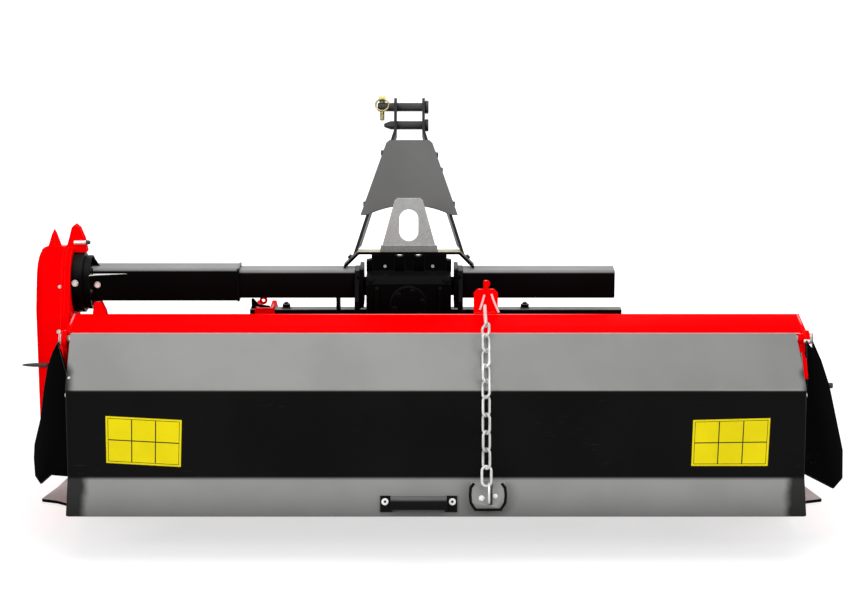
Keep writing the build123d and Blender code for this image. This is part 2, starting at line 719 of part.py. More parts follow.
def pto_guard():
    """The open guard round the input shaft, on the front of the gearbox."""
    width, height = 2 * GUARD_BOX_HALF, 2 * GUARD_BOX_HALF_HEIGHT
    inner_width, inner_height = width - 2 * GUARD_WALL, height - 2 * GUARD_WALL
    outer = Plane.XZ * RectangleRounded(width, height, GUARD_BOX_CORNER)
    inner = Plane.XZ * RectangleRounded(inner_width, inner_height, GUARD_BOX_CORNER - GUARD_WALL)
    start = GEARBOX_FRONT_Y
    wall = extrude(outer - inner, GUARD_BOX_LENGTH, dir=(0, 1, 0))
    back = extrude(outer, GUARD_WALL, dir=(0, 1, 0))
    guard = Pos(HITCH_X, start, PTO_Z) * (wall + back)
    guard -= rod_y(start - 1, start + GUARD_WALL + 1, HITCH_X, PTO_Z, PTO_CAP_RADIUS)
    return guard - hood_core(HITCH_X - width, HITCH_X + width)


# Lower hitch
HITCH_PLATE = 10.0
HITCH_BOX = 42.0
LOWER_PIN_Y = 236.0
LOWER_PIN_LENGTH = 78.0
HITCH_OUT = LOWER_SPREAD / 2 - LOWER_COLLAR
HITCH_NOSE = 24.0
HITCH_OVER_PIN = 26.0
HITCH_UNDER_PIN = 62.0
HITCH_TOP_DEPTH = 40.0
HITCH_WEB = 14.0
LOWER_NUT_RADIUS = 18.5
LOWER_NUT = 9.0
HITCH_REARS = {-1: 34.0, 1: STIFFENER_FRONT_Y}
HITCH_TOPS = {-1: BEAM_Z - 44.0, 1: STIFFENER_TOP - 28.0}


def lower_hitch(side):
    """A boxed pair of plates on the hood's front that carries one lower pin."""
    top = HITCH_TOPS[side]
    rear_y = HITCH_REARS[side]
    nose_y = LOWER_PIN_Y + HITCH_NOSE
    outline = [
        (rear_y, ROTOR_Z),
        (LOWER_PIN_Y - 16.0, LOWER_PIN_Z - HITCH_UNDER_PIN),
        (nose_y, LOWER_PIN_Z - 26.0),
        (nose_y, LOWER_PIN_Z + 18.0),
        (LOWER_PIN_Y + 4.0, LOWER_PIN_Z + HITCH_OVER_PIN),
        (rear_y + HITCH_TOP_DEPTH, top),
        (rear_y, top),
    ]
    outer = HITCH_X + side * HITCH_OUT
    inner = outer - side * HITCH_BOX
    low, high = min(outer, inner), max(outer, inner)
    bracket = yz_plate(outline, low, high)
    bracket -= block(
        low + HITCH_PLATE, high - HITCH_PLATE, rear_y + HITCH_WEB, WELL_CLEAR, 0, WELL_CLEAR
    )
    bracket -= block(low, high, STIFFENER_REAR_Y, STIFFENER_FRONT_Y, 0, STIFFENER_TOP)
    bracket -= hood_core(low, high)
    return bracket - rod_x(low, high, LOWER_PIN_Y, LOWER_PIN_Z, LOWER_SHANK_RADIUS)


def lower_pin(side):
    """One lower hitch pin: a nut and a shank in the boxed plates, a collar and a free end."""
    inner = HITCH_X + side * (HITCH_OUT - HITCH_BOX)
    lengths = [
        (HITCH_X + side * HITCH_OUT, side * LOWER_COLLAR, LOWER_COLLAR_RADIUS),
        (inner, side * HITCH_BOX, LOWER_SHANK_RADIUS),
        (inner, -side * LOWER_NUT, LOWER_NUT_RADIUS),
        (HITCH_X + side * HITCH_OUT, side * LOWER_PIN_LENGTH, LOWER_PIN_RADIUS),
    ]
    pin = None
    for start, run, radius in lengths:
        low, high = min(start, start + run), max(start, start + run)
        piece = rod_x(low, high, LOWER_PIN_Y, LOWER_PIN_Z, radius)
        pin = piece if pin is None else pin + piece
    hole_x = HITCH_X + side * (HITCH_OUT + LOWER_PIN_LENGTH - LYNCH_HOLE_INSET)
    return pin - rod_z(0, BEAM_Z, hole_x, LOWER_PIN_Y, LYNCH_HOLE_RADIUS)


# Rotor
ROTOR_REACH = SIDE_IN - ROTOR_END_GAP


def flange_places():
    """The rotor flanges' middles along X."""
    reach = ROTOR_REACH - FLANGE_END_INSET
    step = 2 * reach / (FLANGE_COUNT - 1)
    return [-reach + step * index for index in range(FLANGE_COUNT)]


BEARING_REACH = 38.0


def rotor_tube():
    """The rotor's tube with its welded flanges and the stub shaft at each end."""
    tube = rod_x(-ROTOR_REACH, ROTOR_REACH, ROTOR_Y, ROTOR_Z, ROTOR_TUBE_RADIUS)
    for x in flange_places():
        tube += rod_x(
            x - FLANGE_THICKNESS / 2, x + FLANGE_THICKNESS / 2, ROTOR_Y, ROTOR_Z, FLANGE_RADIUS
        )
    right_end = SIDE_OUT + BEARING_REACH - 12.0
    left_end = -SIDE_OUT - STUB_SEAT + 2.0
    return tube + rod_x(left_end, right_end, ROTOR_Y, ROTOR_Z, STUB_RADIUS)


def tine(direction):
    """One L-shaped tine upright on the rotor axis, its foot turned to one side."""
    half = TINE_WIDTH / 2
    tip = sqrt(ROTOR_RADIUS**2 - (TINE_WIDTH - 2.0) ** 2)
    shank = [
        (-half, TINE_ROOT_RADIUS),
        (half, TINE_ROOT_RADIUS),
        (half + 1.0, tip * 0.62),
        (half - 12.0, tip - 22.0),
        (-half + 24.0, tip),
        (-TINE_WIDTH + 2.0, tip),
        (-half - 12.0, tip - 26.0),
        (-half - 2.0, tip * 0.6),
    ]
    start = direction * FLANGE_THICKNESS / 2
    middle = start + direction * TINE_THICKNESS
    end = start + direction * TINE_FOOT
    blade = yz_plate(shank, min(start, middle), max(start, middle))
    foot = [
        (-TINE_WIDTH + 2.0, tip),
        (-half + 24.0, tip),
        (-half + 24.0, tip - TINE_THICKNESS),
        (-TINE_WIDTH + 2.0, tip - TINE_THICKNESS),
    ]
    return blade + yz_plate(foot, min(start, end), max(start, end))


def tines():
    """All tines, staggered from flange to flange, alternating sides between the end flanges."""
    solids = []
    for index, x in enumerate(flange_places()):
        for turn in range(TINES_PER_FLANGE):
            direction = 1 if turn % 2 else -1
            if index == 0:
                direction = 1
            if index == FLANGE_COUNT - 1:
                direction = -1
            angle = 360.0 / TINES_PER_FLANGE * (turn + index / FLANGE_COUNT)
            solids.append(Pos(x, ROTOR_Y, ROTOR_Z) * Rot(angle, 0, 0) * tine(direction))
    return several(solids)


def rotor_bearing():
    """The bearing housing on the outside of the right side plate."""
    housing = rod_x(SIDE_OUT, SIDE_OUT + BEARING_REACH, ROTOR_Y, ROTOR_Z, 56.0)
    seat = rod_x(
        SIDE_OUT, SIDE_OUT + BEARING_REACH - 10.0, ROTOR_Y, ROTOR_Z, STUB_RADIUS + FIT_GAP
    )
    return housing - seat


# Skids and side pins
SIDE_PIN_RADIUS = 6.0
SIDE_PIN_COLLAR = 8.0
SIDE_PIN_Y = ROTOR_Y - 10.0
SKID_TOE_LINE = [
    (SKID_FRONT_Y - SKID_TOE - 3.0, SKID_PLATE),
    (SKID_FRONT_Y - SKID_TOE, SKID_PLATE),
    (SKID_FRONT_Y - 30.0, 34.0),
    (SKID_FRONT_Y, 96.0),
]


def skid(side):
    """A sole under one side plate, with a slanted tail and a toe bent up at the front."""
    outer = SIDE_OUT + (SKID_RIGHT_REACH if side > 0 else SKID_LEFT_REACH)
    inner = SIDE_IN - 8.0
    sole = [
        (outer, SKID_TAIL_Y),
        (outer - 36.0, SKID_TAIL_Y - 14.0),
        (inner, SKID_SUPPORT_Y),
        (inner, SKID_FRONT_Y - SKID_TOE),
        (outer - 38.0, SKID_FRONT_Y - SKID_TOE),
        (outer - 21.0, 70.0),
    ]
    toe = folded_sheet(SKID_TOE_LINE, SKID_PLATE, inner, outer - 38.0)
    flat = xy_plate(sole, 0.0, SKID_PLATE)
    shape = flat + toe
    return shape if side > 0 else mirror(shape, about=Plane.YZ)


def side_pins():
    """The short fixing pins that stand out of the drive case and of the right side plate."""
    left_z = ROTOR_Z + 119.0
    right_z = ROTOR_Z + 75.0
    case_x = CASE_LEFT_X + CASE_TAPER
    left = rod_x(PART_LEFT_X, case_x, SIDE_PIN_Y, left_z, SIDE_PIN_RADIUS)
    left += rod_x(CASE_LEFT_X - SIDE_PIN_COLLAR, case_x, SIDE_PIN_Y, left_z, SIDE_PIN_RADIUS + 4.0)
    left -= gear_case_cover()
    right = rod_x(SIDE_OUT, SIDE_OUT + RIGHT_PIN_REACH, SIDE_PIN_Y, right_z, SIDE_PIN_RADIUS)
    return several([left, right])


# Gate
GATE_HALF = SIDE_OUT - GATE_END_GAP
END_FLANGE = 56.0
LIP_FLANGE = 12.0
WING_PLATE = 5.0


def gate_sheet():
    """The folded rear gate with a forward return at each end."""
    sheet = folded_sheet(GATE_LINE, -SHEET, -GATE_HALF, GATE_HALF)
    inner = offset_line(GATE_LINE, -SHEET)
    deep = offset_line(GATE_LINE, -END_FLANGE)
    lip = offset_line(GATE_LINE, -LIP_FLANGE)[3]
    strip = inner[1:] + [lip, deep[2], deep[1]]
    for low, high in ((-GATE_HALF, -GATE_HALF + SHEET), (GATE_HALF - SHEET, GATE_HALF)):
        sheet += yz_plate(strip, low, high)
    return sheet


def gate_rod():
    """The hinge rod along the gate's top edge, held in the side plates' ears."""
    reach = SIDE_OUT + ROD_PAST_PLATE
    return rod_x(-reach, reach, HINGE_Y, HINGE_Z, HINGE_ROD_RADIUS)


# Each wing's plane through its top corner at the gate's end: out and forward, then down
WING_TOP_Z = HINGE_Z - 19.0
WING_TOP_Y = HINGE_Y - 31.6
WING_OUT = (0.802, 0.589, -0.097)
WING_DOWN = (0.026, -0.196, -0.98)
WING_PAST_GATE = 12.0

# Wing outlines on that plane, as steps out from the gate's end and down
WING_OUTLINES = {
    -1: [
        (30.0, -18.0), (44.0, 3.0), (57.0, 32.0), (67.0, 81.0), (74.0, 138.0), (90.0, 192.0),
        (91.0, 220.0), (86.0, 256.0), (70.0, 271.0), (42.0, 251.0), (0.0, 250.0), (0.0, 80.0),
    ],
    1: [
        (8.0, -22.0), (25.0, -22.0), (50.0, 22.0), (71.0, 73.0), (105.0, 205.0), (102.5, 262.0),
        (76.0, 281.0), (0.0, 242.0), (0.0, 85.0), (6.0, 70.0),
    ],
}


def gate_wing(side):
    """A flared wing welded along one end of the gate, cut clear of the side plate's hinge ear."""
    outline = [(x - WING_PAST_GATE if x == 0.0 else x, y) for x, y in WING_OUTLINES[side]]
    apex = Vector(GATE_HALF, WING_TOP_Y, WING_TOP_Z)
    plane = Plane(origin=apex, x_dir=WING_OUT, z_dir=Vector(*WING_OUT).cross(Vector(*WING_DOWN)))
    plate = plane * extrude(Polygon(*outline, align=None), WING_PLATE / 2, both=True)
    plate -= block(0, GATE_HALF, -WELL_CLEAR, WELL_CLEAR, 0, WELL_CLEAR)
    plate -= rod_x(0, SIDE_OUT + MOVE_GAP, HINGE_Y, HINGE_Z, HINGE_EAR + MOVE_GAP)
    plate -= rod_x(SIDE_IN, WELL_CLEAR, HINGE_Y, HINGE_Z, HINGE_ROD_RADIUS + SEAT_GAP)
    return plate if side > 0 else mirror(plate, about=Plane.YZ)


HANDLE_HALF = 76.5
HANDLE_TAB = 20.5
HANDLE_LOW = 69.0
HANDLE_HIGH = 36.0
HANDLE_STANDOFF = 24.0
HANDLE_WALL = 4.0


def band_plane(x, down=0.0):
    """The plane on the gate's lower band, at a step down from its fold: X along, Y up the band."""
    (start_y, start_z), (end_y, end_z) = GATE_LINE[2], GATE_LINE[3]
    share = down / hypot(end_y - start_y, end_z - start_z)
    origin = (x, start_y + (end_y - start_y) * share, start_z + (end_z - start_z) * share)
    return Plane(origin=origin, x_dir=(1, 0, 0), z_dir=(0, *side_normal(GATE_LINE[2], GATE_LINE[3])))


def yz_local(points, length):
    """A bar along a plane's X whose section is drawn in its Y and Z."""
    return extrude(Plane.YZ * Polygon(*points, align=None), length, dir=(1, 0, 0))


def gate_handle():
    """The cupped pull bolted to the gate's lower band, open underneath."""
    grip = HANDLE_HALF - HANDLE_TAB
    depth = HANDLE_LOW - HANDLE_HIGH
    plane = band_plane(HANDLE_X, HANDLE_LOW)
    line = [
        (0.0, HANDLE_STANDOFF),
        (depth * 0.45, HANDLE_STANDOFF),
        (depth * 0.85, HANDLE_STANDOFF * 0.62),
        (depth, 0.0),
    ]
    inner = offset_line(line, HANDLE_WALL)
    inner[-1] = (depth - HANDLE_WALL * 1.1, 0.0)
    cup = plane * (Pos(-grip, 0, 0) * yz_local(line + inner[::-1], 2 * grip))
    end = [(0.0, 0.0), (0.0, HANDLE_STANDOFF)] + line[1:]
    for start in (-grip, grip - HANDLE_WALL):
        cup += plane * (Pos(start, 0, 0) * yz_local(end, HANDLE_WALL))
    for side in (-1, 1):
        middle = side * (grip + HANDLE_TAB / 2)
        cup += plane * Pos(middle, depth / 2, HANDLE_WALL / 2) * Box(HANDLE_TAB, depth, HANDLE_WALL)
    return cup


CATCH_HALF = 35.0
CATCH_HIGH = 10.0
CATCH_LOW = 66.0
CATCH_RISE = 14.0
CATCH_PLATE = 4.0
CATCH_CORNER = 12.0
CATCH_SLOT = 9.0
CATCH_SLOT_X = 4.0
CATCH_SLOT_FROM = 8.0


def chain_catch():
    """The slotted catch on the gate's lower band: a plate on two legs, open at the top for a link."""
    plane = band_plane(CHAIN_X, CATCH_LOW)
    high = CATCH_LOW - CATCH_HIGH
    corner = CATCH_CORNER
    half = CATCH_HALF
    face = Polygon(
        (-half + corner, 0.0),
        (half - corner, 0.0),
        (half, corner),
        (half, high),
        (-half, high),
        (-half, corner),
        align=None,
    )
    plate = Pos(0, 0, CATCH_RISE) * extrude(face, CATCH_PLATE)
    mouth = high - CATCH_SLOT_FROM
    slot = Pos(CATCH_SLOT_X, high - mouth / 2, CATCH_RISE) * Box(CATCH_SLOT, mouth, 4 * CATCH_PLATE)
    shape = plate - slot
    for side in (-1, 1):
        leg_x = side * (half - CATCH_PLATE / 2)
        leg_high = high - corner
        shape += Pos(leg_x, corner + leg_high / 2, CATCH_RISE / 2) * Box(CATCH_PLATE, leg_high, CATCH_RISE)
    return plane * shape


# Chain
LINK_WIRE = 5.5
LINK_PITCH = 34.0
LINK_WIDTH = 24.0
LINK_ROLL = 45.0
CHAIN_START = 24.0
CHAIN_LIFT = (LINK_WIDTH - LINK_WIRE) / 2 * sin(radians(LINK_ROLL)) + LINK_WIRE / 2 + SEAT_GAP


def chain_path():
    """The chain's line from the hood bracket over the gate's folds to the slot of its catch."""
    (rear_y, rear_z), (ridge_y, ridge_z) = offset_line(HOOD_LINE, -CHAIN_LIFT)[:2]
    share = CHAIN_START / hypot(ridge_y - rear_y, ridge_z - rear_z)
    start = (ridge_y + (rear_y - ridge_y) * share, ridge_z + (rear_z - ridge_z) * share)
    over = offset_line(GATE_LINE, CHAIN_LIFT)
    slot = band_plane(CHAIN_X, CATCH_LOW - CATCH_SLOT_FROM - LINK_WIRE)
    held = slot.origin + slot.z_dir * (CATCH_RISE + CATCH_PLATE)
    return [start, (rear_y, rear_z), over[0], over[1], (held.Y, held.Z)]


def along_path(points, distance):
    """The point and the direction at a distance along a polyline."""
    for start, end in zip(points, points[1:]):
        length = hypot(end[0] - start[0], end[1] - start[1])
        if distance <= length:
            share = distance / length
            step = ((end[0] - start[0]) / length, (end[1] - start[1]) / length)
            spot = (start[0] + (end[0] - start[0]) * share, start[1] + (end[1] - start[1]) * share)
            return spot, step
        distance -= length
    return points[-1], step


def chain_link():
    """One long link, lying in its own XY plane with its length along X."""
    half_run = (LINK_PITCH + LINK_WIRE - LINK_WIDTH + LINK_WIRE) / 2
    radius = (LINK_WIDTH - LINK_WIRE) / 2
    path = SlotOverall(2 * (half_run + radius), 2 * radius).wire()
    section = Plane(origin=path @ 0, z_dir=path % 0) * Circle(LINK_WIRE / 2)
    return sweep(section, path)


def chain():
    """The gate's chain, every other link turned a quarter round its line."""
    points = chain_path()
    total = sum(hypot(b[0] - a[0], b[1] - a[1]) for a, b in zip(points, points[1:]))
    count = round(total / (LINK_PITCH - 1.0))
    pitch = total / count
    link = chain_link()
    solids = []
    for index in range(count):
        (y, z), (step_y, step_z) = along_path(points, pitch * (index + 0.5))
        tilt = degrees(atan2(step_z, step_y))
        roll = LINK_ROLL + 90.0 * (index % 2) if index < count - 2 else 90.0 * (index - count + 2)
        place = Pos(CHAIN_X + CATCH_SLOT_X, y, z) * Rot(tilt, 0, 0) * Rot(0, roll, 0) * Rot(0, 0, 90)
        solids.append(place * link)
    return several(solids)


BRACKET_WIDTH = 50.0
BRACKET_RISE = 51.0
BRACKET_CORNER = 8.0
BRACKET_NECK = 10.0
BRACKET_KNOB = 18.0
BRACKET_PLATE = 12.0


def chain_bracket():
    """The red lug on the hood's ridge that holds the chain's first link, with a knob on top."""
    ridge_y, ridge_z = HOOD_LINE[1]
    half, neck = BRACKET_WIDTH / 2, BRACKET_NECK / 2
    shoulder = ridge_z + BRACKET_RISE
    plate = xz_plate(
        [
            (CHAIN_X - half, ROTOR_Z),
            (CHAIN_X + half, ROTOR_Z),
            (CHAIN_X + half, shoulder - BRACKET_CORNER),
            (CHAIN_X + half - BRACKET_CORNER, shoulder),
            (CHAIN_X + neck, shoulder),
            (CHAIN_X + neck, shoulder + BRACKET_KNOB),
            (CHAIN_X - neck, shoulder + BRACKET_KNOB),
            (CHAIN_X - neck, shoulder),
            (CHAIN_X - half + BRACKET_CORNER, shoulder),
            (CHAIN_X - half, shoulder - BRACKET_CORNER),
        ],
        ridge_y,
        ridge_y + BRACKET_PLATE,
    )
    return plate - hood_core(CHAIN_X - BRACKET_WIDTH, CHAIN_X + BRACKET_WIDTH)


NODES = {
    "hood_shell": hood_shell(),
    "side_plate_left": side_plate(-1),
    "side_plate_right": side_plate(1),
    "hood_stiffener": hood_stiffener(),
    "gear_case": gear_case(),
    "gear_case_cover": gear_case_cover(),
    "drive_flange": drive_flange(),
    "sleeve_tube": sleeve_tube(),
    "left_beam": left_beam(),
    "right_beam": right_beam(),
    "beam_prop_left": beam_prop(-1),
    "beam_prop_right": beam_prop(1),
    "gearbox": gearbox(),
    "saddle_plate_left": saddle_plate(-1),
    "saddle_plate_right": saddle_plate(1),
    "bridge_plate": bridge_plate(),
    "slot_bracket": slot_bracket(),
    "mast_bar_left": mast_bar(-1),
    "mast_bar_right": mast_bar(1),
    "mast_guard": mast_guard(),
    "top_link_pin": top_link_pin(),
    "mast_cross_pin": mast_cross_pin(),
    "lynch_pin": lynch_pin(),
    "pto_shaft": pto_shaft(),
    "pto_guard": pto_guard(),
    "lower_hitch_left": lower_hitch(-1),
    "lower_hitch_right": lower_hitch(1),
    "lower_pin_left": lower_pin(-1),
    "lower_pin_right": lower_pin(1),
    "rotor_tube": rotor_tube(),
    "tines": tines(),
    "rotor_bearing": rotor_bearing(),
    "skid_left": skid(-1),
    "skid_right": skid(1),
    "side_pins": side_pins(),
    "gate_sheet": gate_sheet(),
    "gate_rod": gate_rod(),
    "gate_wing_left": gate_wing(-1),
    "gate_wing_right": gate_wing(1),
    "gate_handle": gate_handle(),
    "chain_catch": chain_catch(),
    "chain": chain(),
    "chain_bracket": chain_bracket(),
}

# The finished part stands with the middle of its base on the origin
GRIP_PLANE = band_plane(HANDLE_X, HANDLE_LOW)
LOW_Y = GRIP_PLANE.origin.Y + GRIP_PLANE.z_dir.Y * HANDLE_STANDOFF
HIGH_Y = offset_line(SKID_TOE_LINE, SKID_PLATE)[-1][0]
MID_X = (PART_LEFT_X + PART_RIGHT_X) / 2
MID_Y = (LOW_Y + HIGH_Y) / 2

os.makedirs("parts", exist_ok=True)
for name, shape in NODES.items():
    export_step(Pos(-MID_X, -MID_Y, 0) * shape, f"parts/{name}.step")
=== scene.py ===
"""Rotary tiller, seen from behind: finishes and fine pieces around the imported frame.

Lengths are metres in the frame's own axes: X to the right from behind, Y forward to the tractor, Z up.
"""

import json
import logging
from dataclasses import dataclass, replace
from enum import Enum
from math import acos, atan2, cos, dist, pi, radians, sin
from typing import Callable, Iterable, Sequence

import bmesh
import bpy
from mathutils import Matrix, Vector


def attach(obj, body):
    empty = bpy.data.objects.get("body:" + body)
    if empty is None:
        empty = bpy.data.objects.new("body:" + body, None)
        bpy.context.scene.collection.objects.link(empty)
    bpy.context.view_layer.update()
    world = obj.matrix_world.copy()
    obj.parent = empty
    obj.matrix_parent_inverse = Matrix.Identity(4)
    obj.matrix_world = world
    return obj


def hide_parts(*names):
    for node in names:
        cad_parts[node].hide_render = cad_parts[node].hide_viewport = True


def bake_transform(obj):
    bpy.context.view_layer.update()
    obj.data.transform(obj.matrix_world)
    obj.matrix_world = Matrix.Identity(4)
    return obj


logging.basicConfig(level=logging.INFO, format="%(message)s")
log = logging.getLogger("tiller")

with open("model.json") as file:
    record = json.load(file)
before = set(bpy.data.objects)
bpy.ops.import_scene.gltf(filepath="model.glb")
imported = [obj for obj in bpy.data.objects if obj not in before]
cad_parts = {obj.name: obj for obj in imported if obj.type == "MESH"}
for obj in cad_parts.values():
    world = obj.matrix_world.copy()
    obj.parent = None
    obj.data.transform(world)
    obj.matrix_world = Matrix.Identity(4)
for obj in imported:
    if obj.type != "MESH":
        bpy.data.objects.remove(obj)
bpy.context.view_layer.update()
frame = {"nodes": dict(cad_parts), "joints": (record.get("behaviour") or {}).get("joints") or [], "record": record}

Point = tuple[float, float, float]
Flat = tuple[float, float]
Colour = tuple[float, float, float, float]


class Body(Enum):
    """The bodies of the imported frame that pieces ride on."""

    ROOT = "root"
    ROTOR = "rotor"
    SHAFT = "power_shaft"
    GATE = "gate"


# Node trees


class Net:
    """A node tree that takes nodes and links in few words."""

    def __init__(self, tree: bpy.types.NodeTree) -> None:
        """Keeps the tree.

        Args:
            tree: the material's or the group's node tree.
        """
        self.tree = tree

    def add(self, kind: str, inputs: dict | None = None, **settings: object) -> bpy.types.Node:
        """Adds one node, sets it and links what it reads.

        Args:
            kind: the node's type without its ShaderNode prefix.
            inputs: socket name or number to a socket to link, or to a plain value.
            **settings: the node's own settings.

        Returns:
            The new node.
        """
        node = self.tree.nodes.new("ShaderNode" + kind)
        for name, value in settings.items():
            setattr(node, name, value)
        for name, value in (inputs or {}).items():
            if isinstance(value, bpy.types.NodeSocket):
                self.tree.links.new(value, node.inputs[name])
            else:
                node.inputs[name].default_value = value
        return node

    def math(self, operation: str, *values: object, clamp: bool = False) -> bpy.types.NodeSocket:
        """Adds one sum on values or sockets.

        Args:
            operation: the Math node's operation.
            *values: its inputs in order.
            clamp: whether the result is kept between 0 and 1.

        Returns:
            The result's socket.
        """
        node = self.add("Math", dict(enumerate(values)), operation=operation, use_clamp=clamp)
        return node.outputs[0]

    def blend(self, share: object, first: object, second: object) -> bpy.types.NodeSocket:
        """Mixes two colours.

        Args:
            share: how much of the second shows.
            first: the colour or socket at share 0.
            second: the colour or socket at share 1.

        Returns:
            The mixed colour's socket.
        """
        node = self.add("Mix", None, data_type="RGBA")
        for index, value in ((0, share), (6, first), (7, second)):
            if isinstance(value, bpy.types.NodeSocket):
                self.tree.links.new(value, node.inputs[index])
            else:
                node.inputs[index].default_value = value
        return node.outputs[2]

    def spread(
        self, value: object, low: float, high: float, to_low: float, to_high: float
    ) -> bpy.types.NodeSocket:
        """Maps a value smoothly from one range to another.

        Args:
            value: the socket to map.
            low: the range's start.
            high: the range's end.
            to_low: the result at the start.
            to_high: the result at the end.

        Returns:
            The mapped value's socket.
        """
        names = {"Value": value, 1: low, 2: high, 3: to_low, 4: to_high}
        return self.add("MapRange", names, interpolation_type="SMOOTHSTEP").outputs[0]

    def place(self) -> bpy.types.NodeSocket:
        """The object's own coordinates."""
        return self.add("TexCoord").outputs["Object"]

    def noise(self, scale: object, detail: float = 3.0) -> bpy.types.NodeSocket:
        """Adds a noise on the object's own coordinates.

        Args:
            scale: cells in a metre.
            detail: octaves.

        Returns:
            The noise's value socket.
        """
        return self.add("TexNoise", {"Vector": self.place(), "Scale": scale, "Detail": detail}).outputs[0]


class Group(Enum):
    """The shared effects, each a node group that is built once."""

    SOFT_EDGES = "soft_edges"
    # A paler colour painted on the faces that look up, a painted reflection of the sky.
    HAZE = "painted_top_sheen"
    PEEL = "orange_peel"
    CLOUD = "cloudy_tone"
    SCUFFS = "fine_scuffs"
    SPANGLE = "zinc_spangle"
    CAST = "cast_skin"


GROUP_SOCKETS: dict[Group, tuple[dict[str, float], dict[str, str]]] = {
    Group.SOFT_EDGES: ({"Radius": 0.001}, {"Normal": "NodeSocketVector", "Edge": "NodeSocketFloat"}),
    Group.HAZE: ({"Start": 0.2, "Full": 0.7, "Patchiness": 0.2}, {"Mask": "NodeSocketFloat"}),
    Group.PEEL: ({"Scale": 300.0}, {"Height": "NodeSocketFloat"}),
    Group.CLOUD: ({"Scale": 6.0}, {"Tone": "NodeSocketFloat"}),
    Group.SCUFFS: ({"Scale": 30.0, "Amount": 0.5}, {"Mask": "NodeSocketFloat"}),
    Group.SPANGLE: ({"Scale": 120.0}, {"Tone": "NodeSocketFloat"}),
    Group.CAST: ({"Scale": 160.0}, {"Height": "NodeSocketFloat"}),
}


